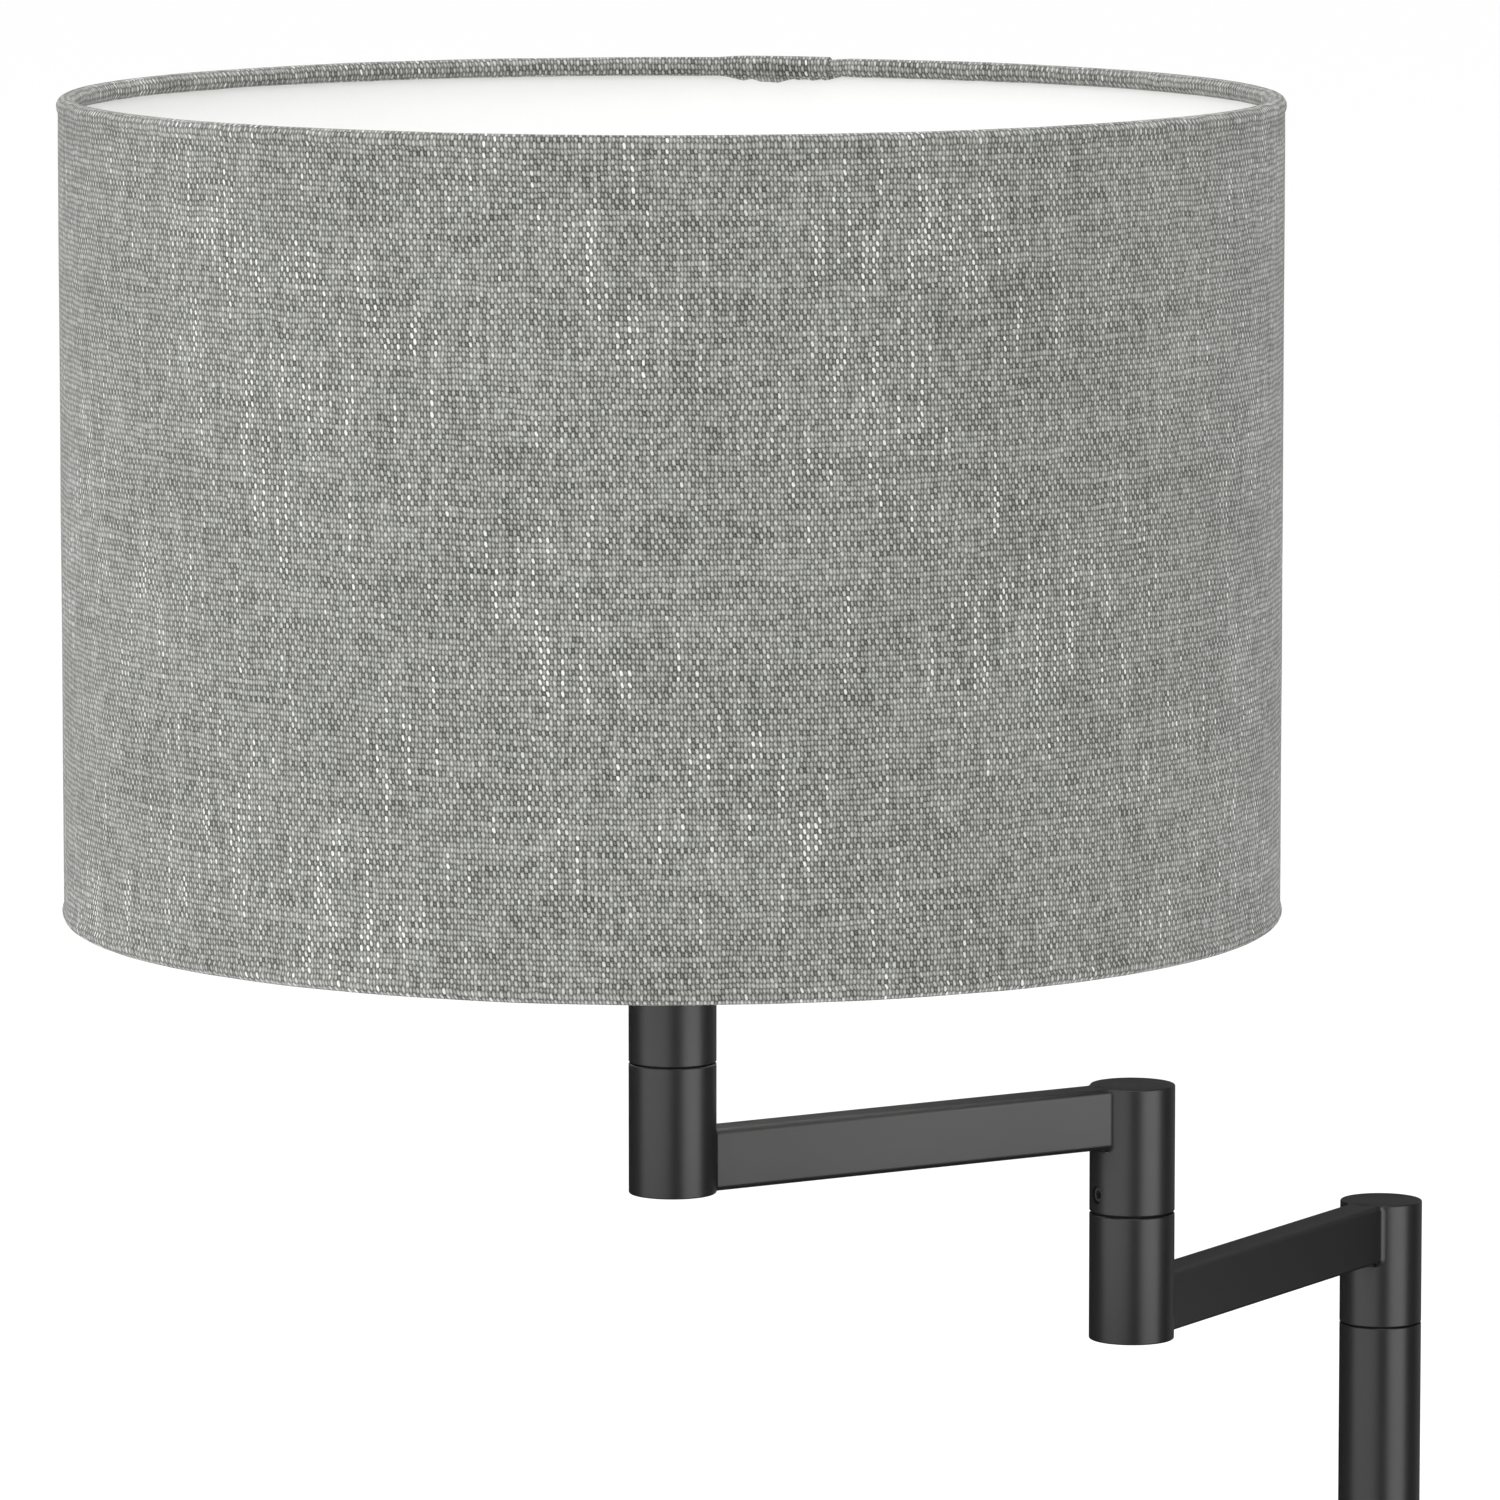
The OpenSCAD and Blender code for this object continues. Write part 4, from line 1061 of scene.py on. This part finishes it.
def roll_sheet(name, outline, path_r, lap_mm, laps, thickness_mm, seam_heading, columns, ragged_mm=0.0):
    """A drum rolled from a flat sheet. outline is (outward from path_r, height) in mm, bottom to top.
    laps says how many thicknesses out the left and the right end stand in the lap. Where the sheet
    turns round a wire, both are pressed half a thickness in."""
    wall_out = outline[len(outline) // 2][0]
    rows = sheet_rows(outline)
    length = 2 * pi * path_r + lap_mm
    bpy.ops.object.select_all(action="DESELECT")
    bpy.ops.mesh.primitive_grid_add(x_subdivisions=columns, y_subdivisions=len(rows) - 1, size=1)
    drum = bpy.context.object
    drum.name = name
    drum.data.uv_layers[0].name = "weave"
    chance = random.Random(4)
    fray = [chance.uniform(-1, 1) for _ in range(columns + 1)]
    runs = {}
    for vertex in drum.data.vertices:
        row = round((vertex.co.y + 0.5) * (len(rows) - 1))
        column = round((vertex.co.x + 0.5) * columns)
        (outward, height), run, normal = rows[row]
        x = vertex.co.x * length
        into_lap = min(1.0, max(0.0, (abs(x) - length / 2 + lap_mm + RUN_IN) / RUN_IN))
        pressed = min(1.0, max(0.0, wall_out - outward))
        lift = into_lap * (laps[0 if x < 0 else 1] - ONE_OUT / 2 * pressed) * thickness_mm
        outward, height = outward + normal.x * lift, height + normal.y * lift
        if ragged_mm and row in (0, len(rows) - 1):
            deeper = ragged_mm * (0.15 * fray[column] + into_lap * (1 + 0.6 * fray[column]))
            height += deeper if row == 0 else -deeper
        vertex.co = Vector((x, -outward, height)) * MM
        runs[vertex.index] = (x * MM, run * MM)
    for corner in drum.data.loops:
        drum.data.uv_layers["weave"].data[corner.index].uv = runs[corner.vertex_index]
    modify(drum, "SIMPLE_DEFORM", deform_method="BEND", deform_axis="Z", angle=length / path_r)
    edit(drum, "FACE", "SELECT")
    bpy.ops.mesh.normals_make_consistent(inside=False)
    bpy.ops.object.mode_set(mode="OBJECT")
    waver = bpy.data.textures.new(name + "_waver", "CLOUDS")
    waver.noise_scale = 0.03
    modify(drum, "DISPLACE", texture=waver, strength=thickness_mm * 0.35 * MM, mid_level=0.5)
    modify(drum, "SOLIDIFY", thickness=thickness_mm * MM, offset=0.0)
    place(drum, (0, -path_r * MM, 0))
    place(drum, (*head_axis, 0), seam_heading)
    return drum, length, rows[-1][1]


print("sheet helpers ready")

# %% [markdown]
# ## Linen cover
# The linen is turned in round a steel wire at both edges, and its raw end is tucked behind the wire
# against the liner. That makes the soft round rims. Its ends lap over each other at the back, where
# the cloth is thicker and the tucked edge is a little ragged.

# %% Roll the linen
shade_low_mm, shade_high_mm = shade_low / MM, shade_high / MM
LINEN_THICK = 0.8
ROLL = WIRE_R + LINEN_THICK / 2
WALL_OUT = shade_r / MM - 0.5 - LINEN_THICK / 2 - wire_path
TUCK_OUT, TUCK_DEEP = 0.9, 2.4
LAP = 28.0
SEAM_HEADING = radians(-10.9)
WALL_ROWS = 16

wall_angle = degrees(acos(WALL_OUT / ROLL))
tuck_reach = hypot(TUCK_OUT, TUCK_DEEP)
tuck_angle = degrees(atan2(TUCK_DEEP, TUCK_OUT) + acos(ROLL / tuck_reach))
lower_roll = [(TUCK_OUT, TUCK_DEEP), *arc(0, 0, ROLL, tuck_angle, 360 + wall_angle, 18)]
low_centre, high_centre = shade_low_mm + 2.8, shade_high_mm - 2.8
lower = [(x, low_centre + z) for x, z in lower_roll]
upper = [(x, high_centre - z) for x, z in reversed(lower_roll)]
wall_low, wall_high = lower[-1][1], upper[0][1]
wall = [(WALL_OUT, wall_low + (wall_high - wall_low) * k / WALL_ROWS) for k in range(1, WALL_ROWS)]
linen, linen_long, linen_high = roll_sheet(
    "linen_cover", lower + wall + upper, wire_path, LAP, (ONE_OUT, 0), LINEN_THICK, SEAM_HEADING, 420,
    ragged_mm=1.1)
finish_piece(linen, "head", "linen", "shade_linen", smooth=60)
print("linen cut", round(linen_long), "by", round(linen_high), "mm")

# %% Roll the liner
liner_out = width_of("shade_liner") / 2 / MM
liner_low, liner_high = base_of("shade_liner") / MM, top_of("shade_liner") / MM
LINER_THICK, LINER_LAP, LINER_HEADING, LINER_ROWS = 0.38, 9.0, radians(-8), 10
liner_outline = [(-0.2, liner_low + (liner_high - liner_low) * k / LINER_ROWS)
                 for k in range(LINER_ROWS + 1)]
liner, _, _ = roll_sheet(
    "liner_film", liner_outline, liner_out, LINER_LAP, (0, -ONE_OUT), LINER_THICK, LINER_HEADING, 300)
finish_piece(liner, "head", "liner", "shade_liner", smooth=60)
print("liner", round(liner_high - liner_low, 1), "mm high")

# %% Measure the finished scene's bounds
low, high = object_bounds()
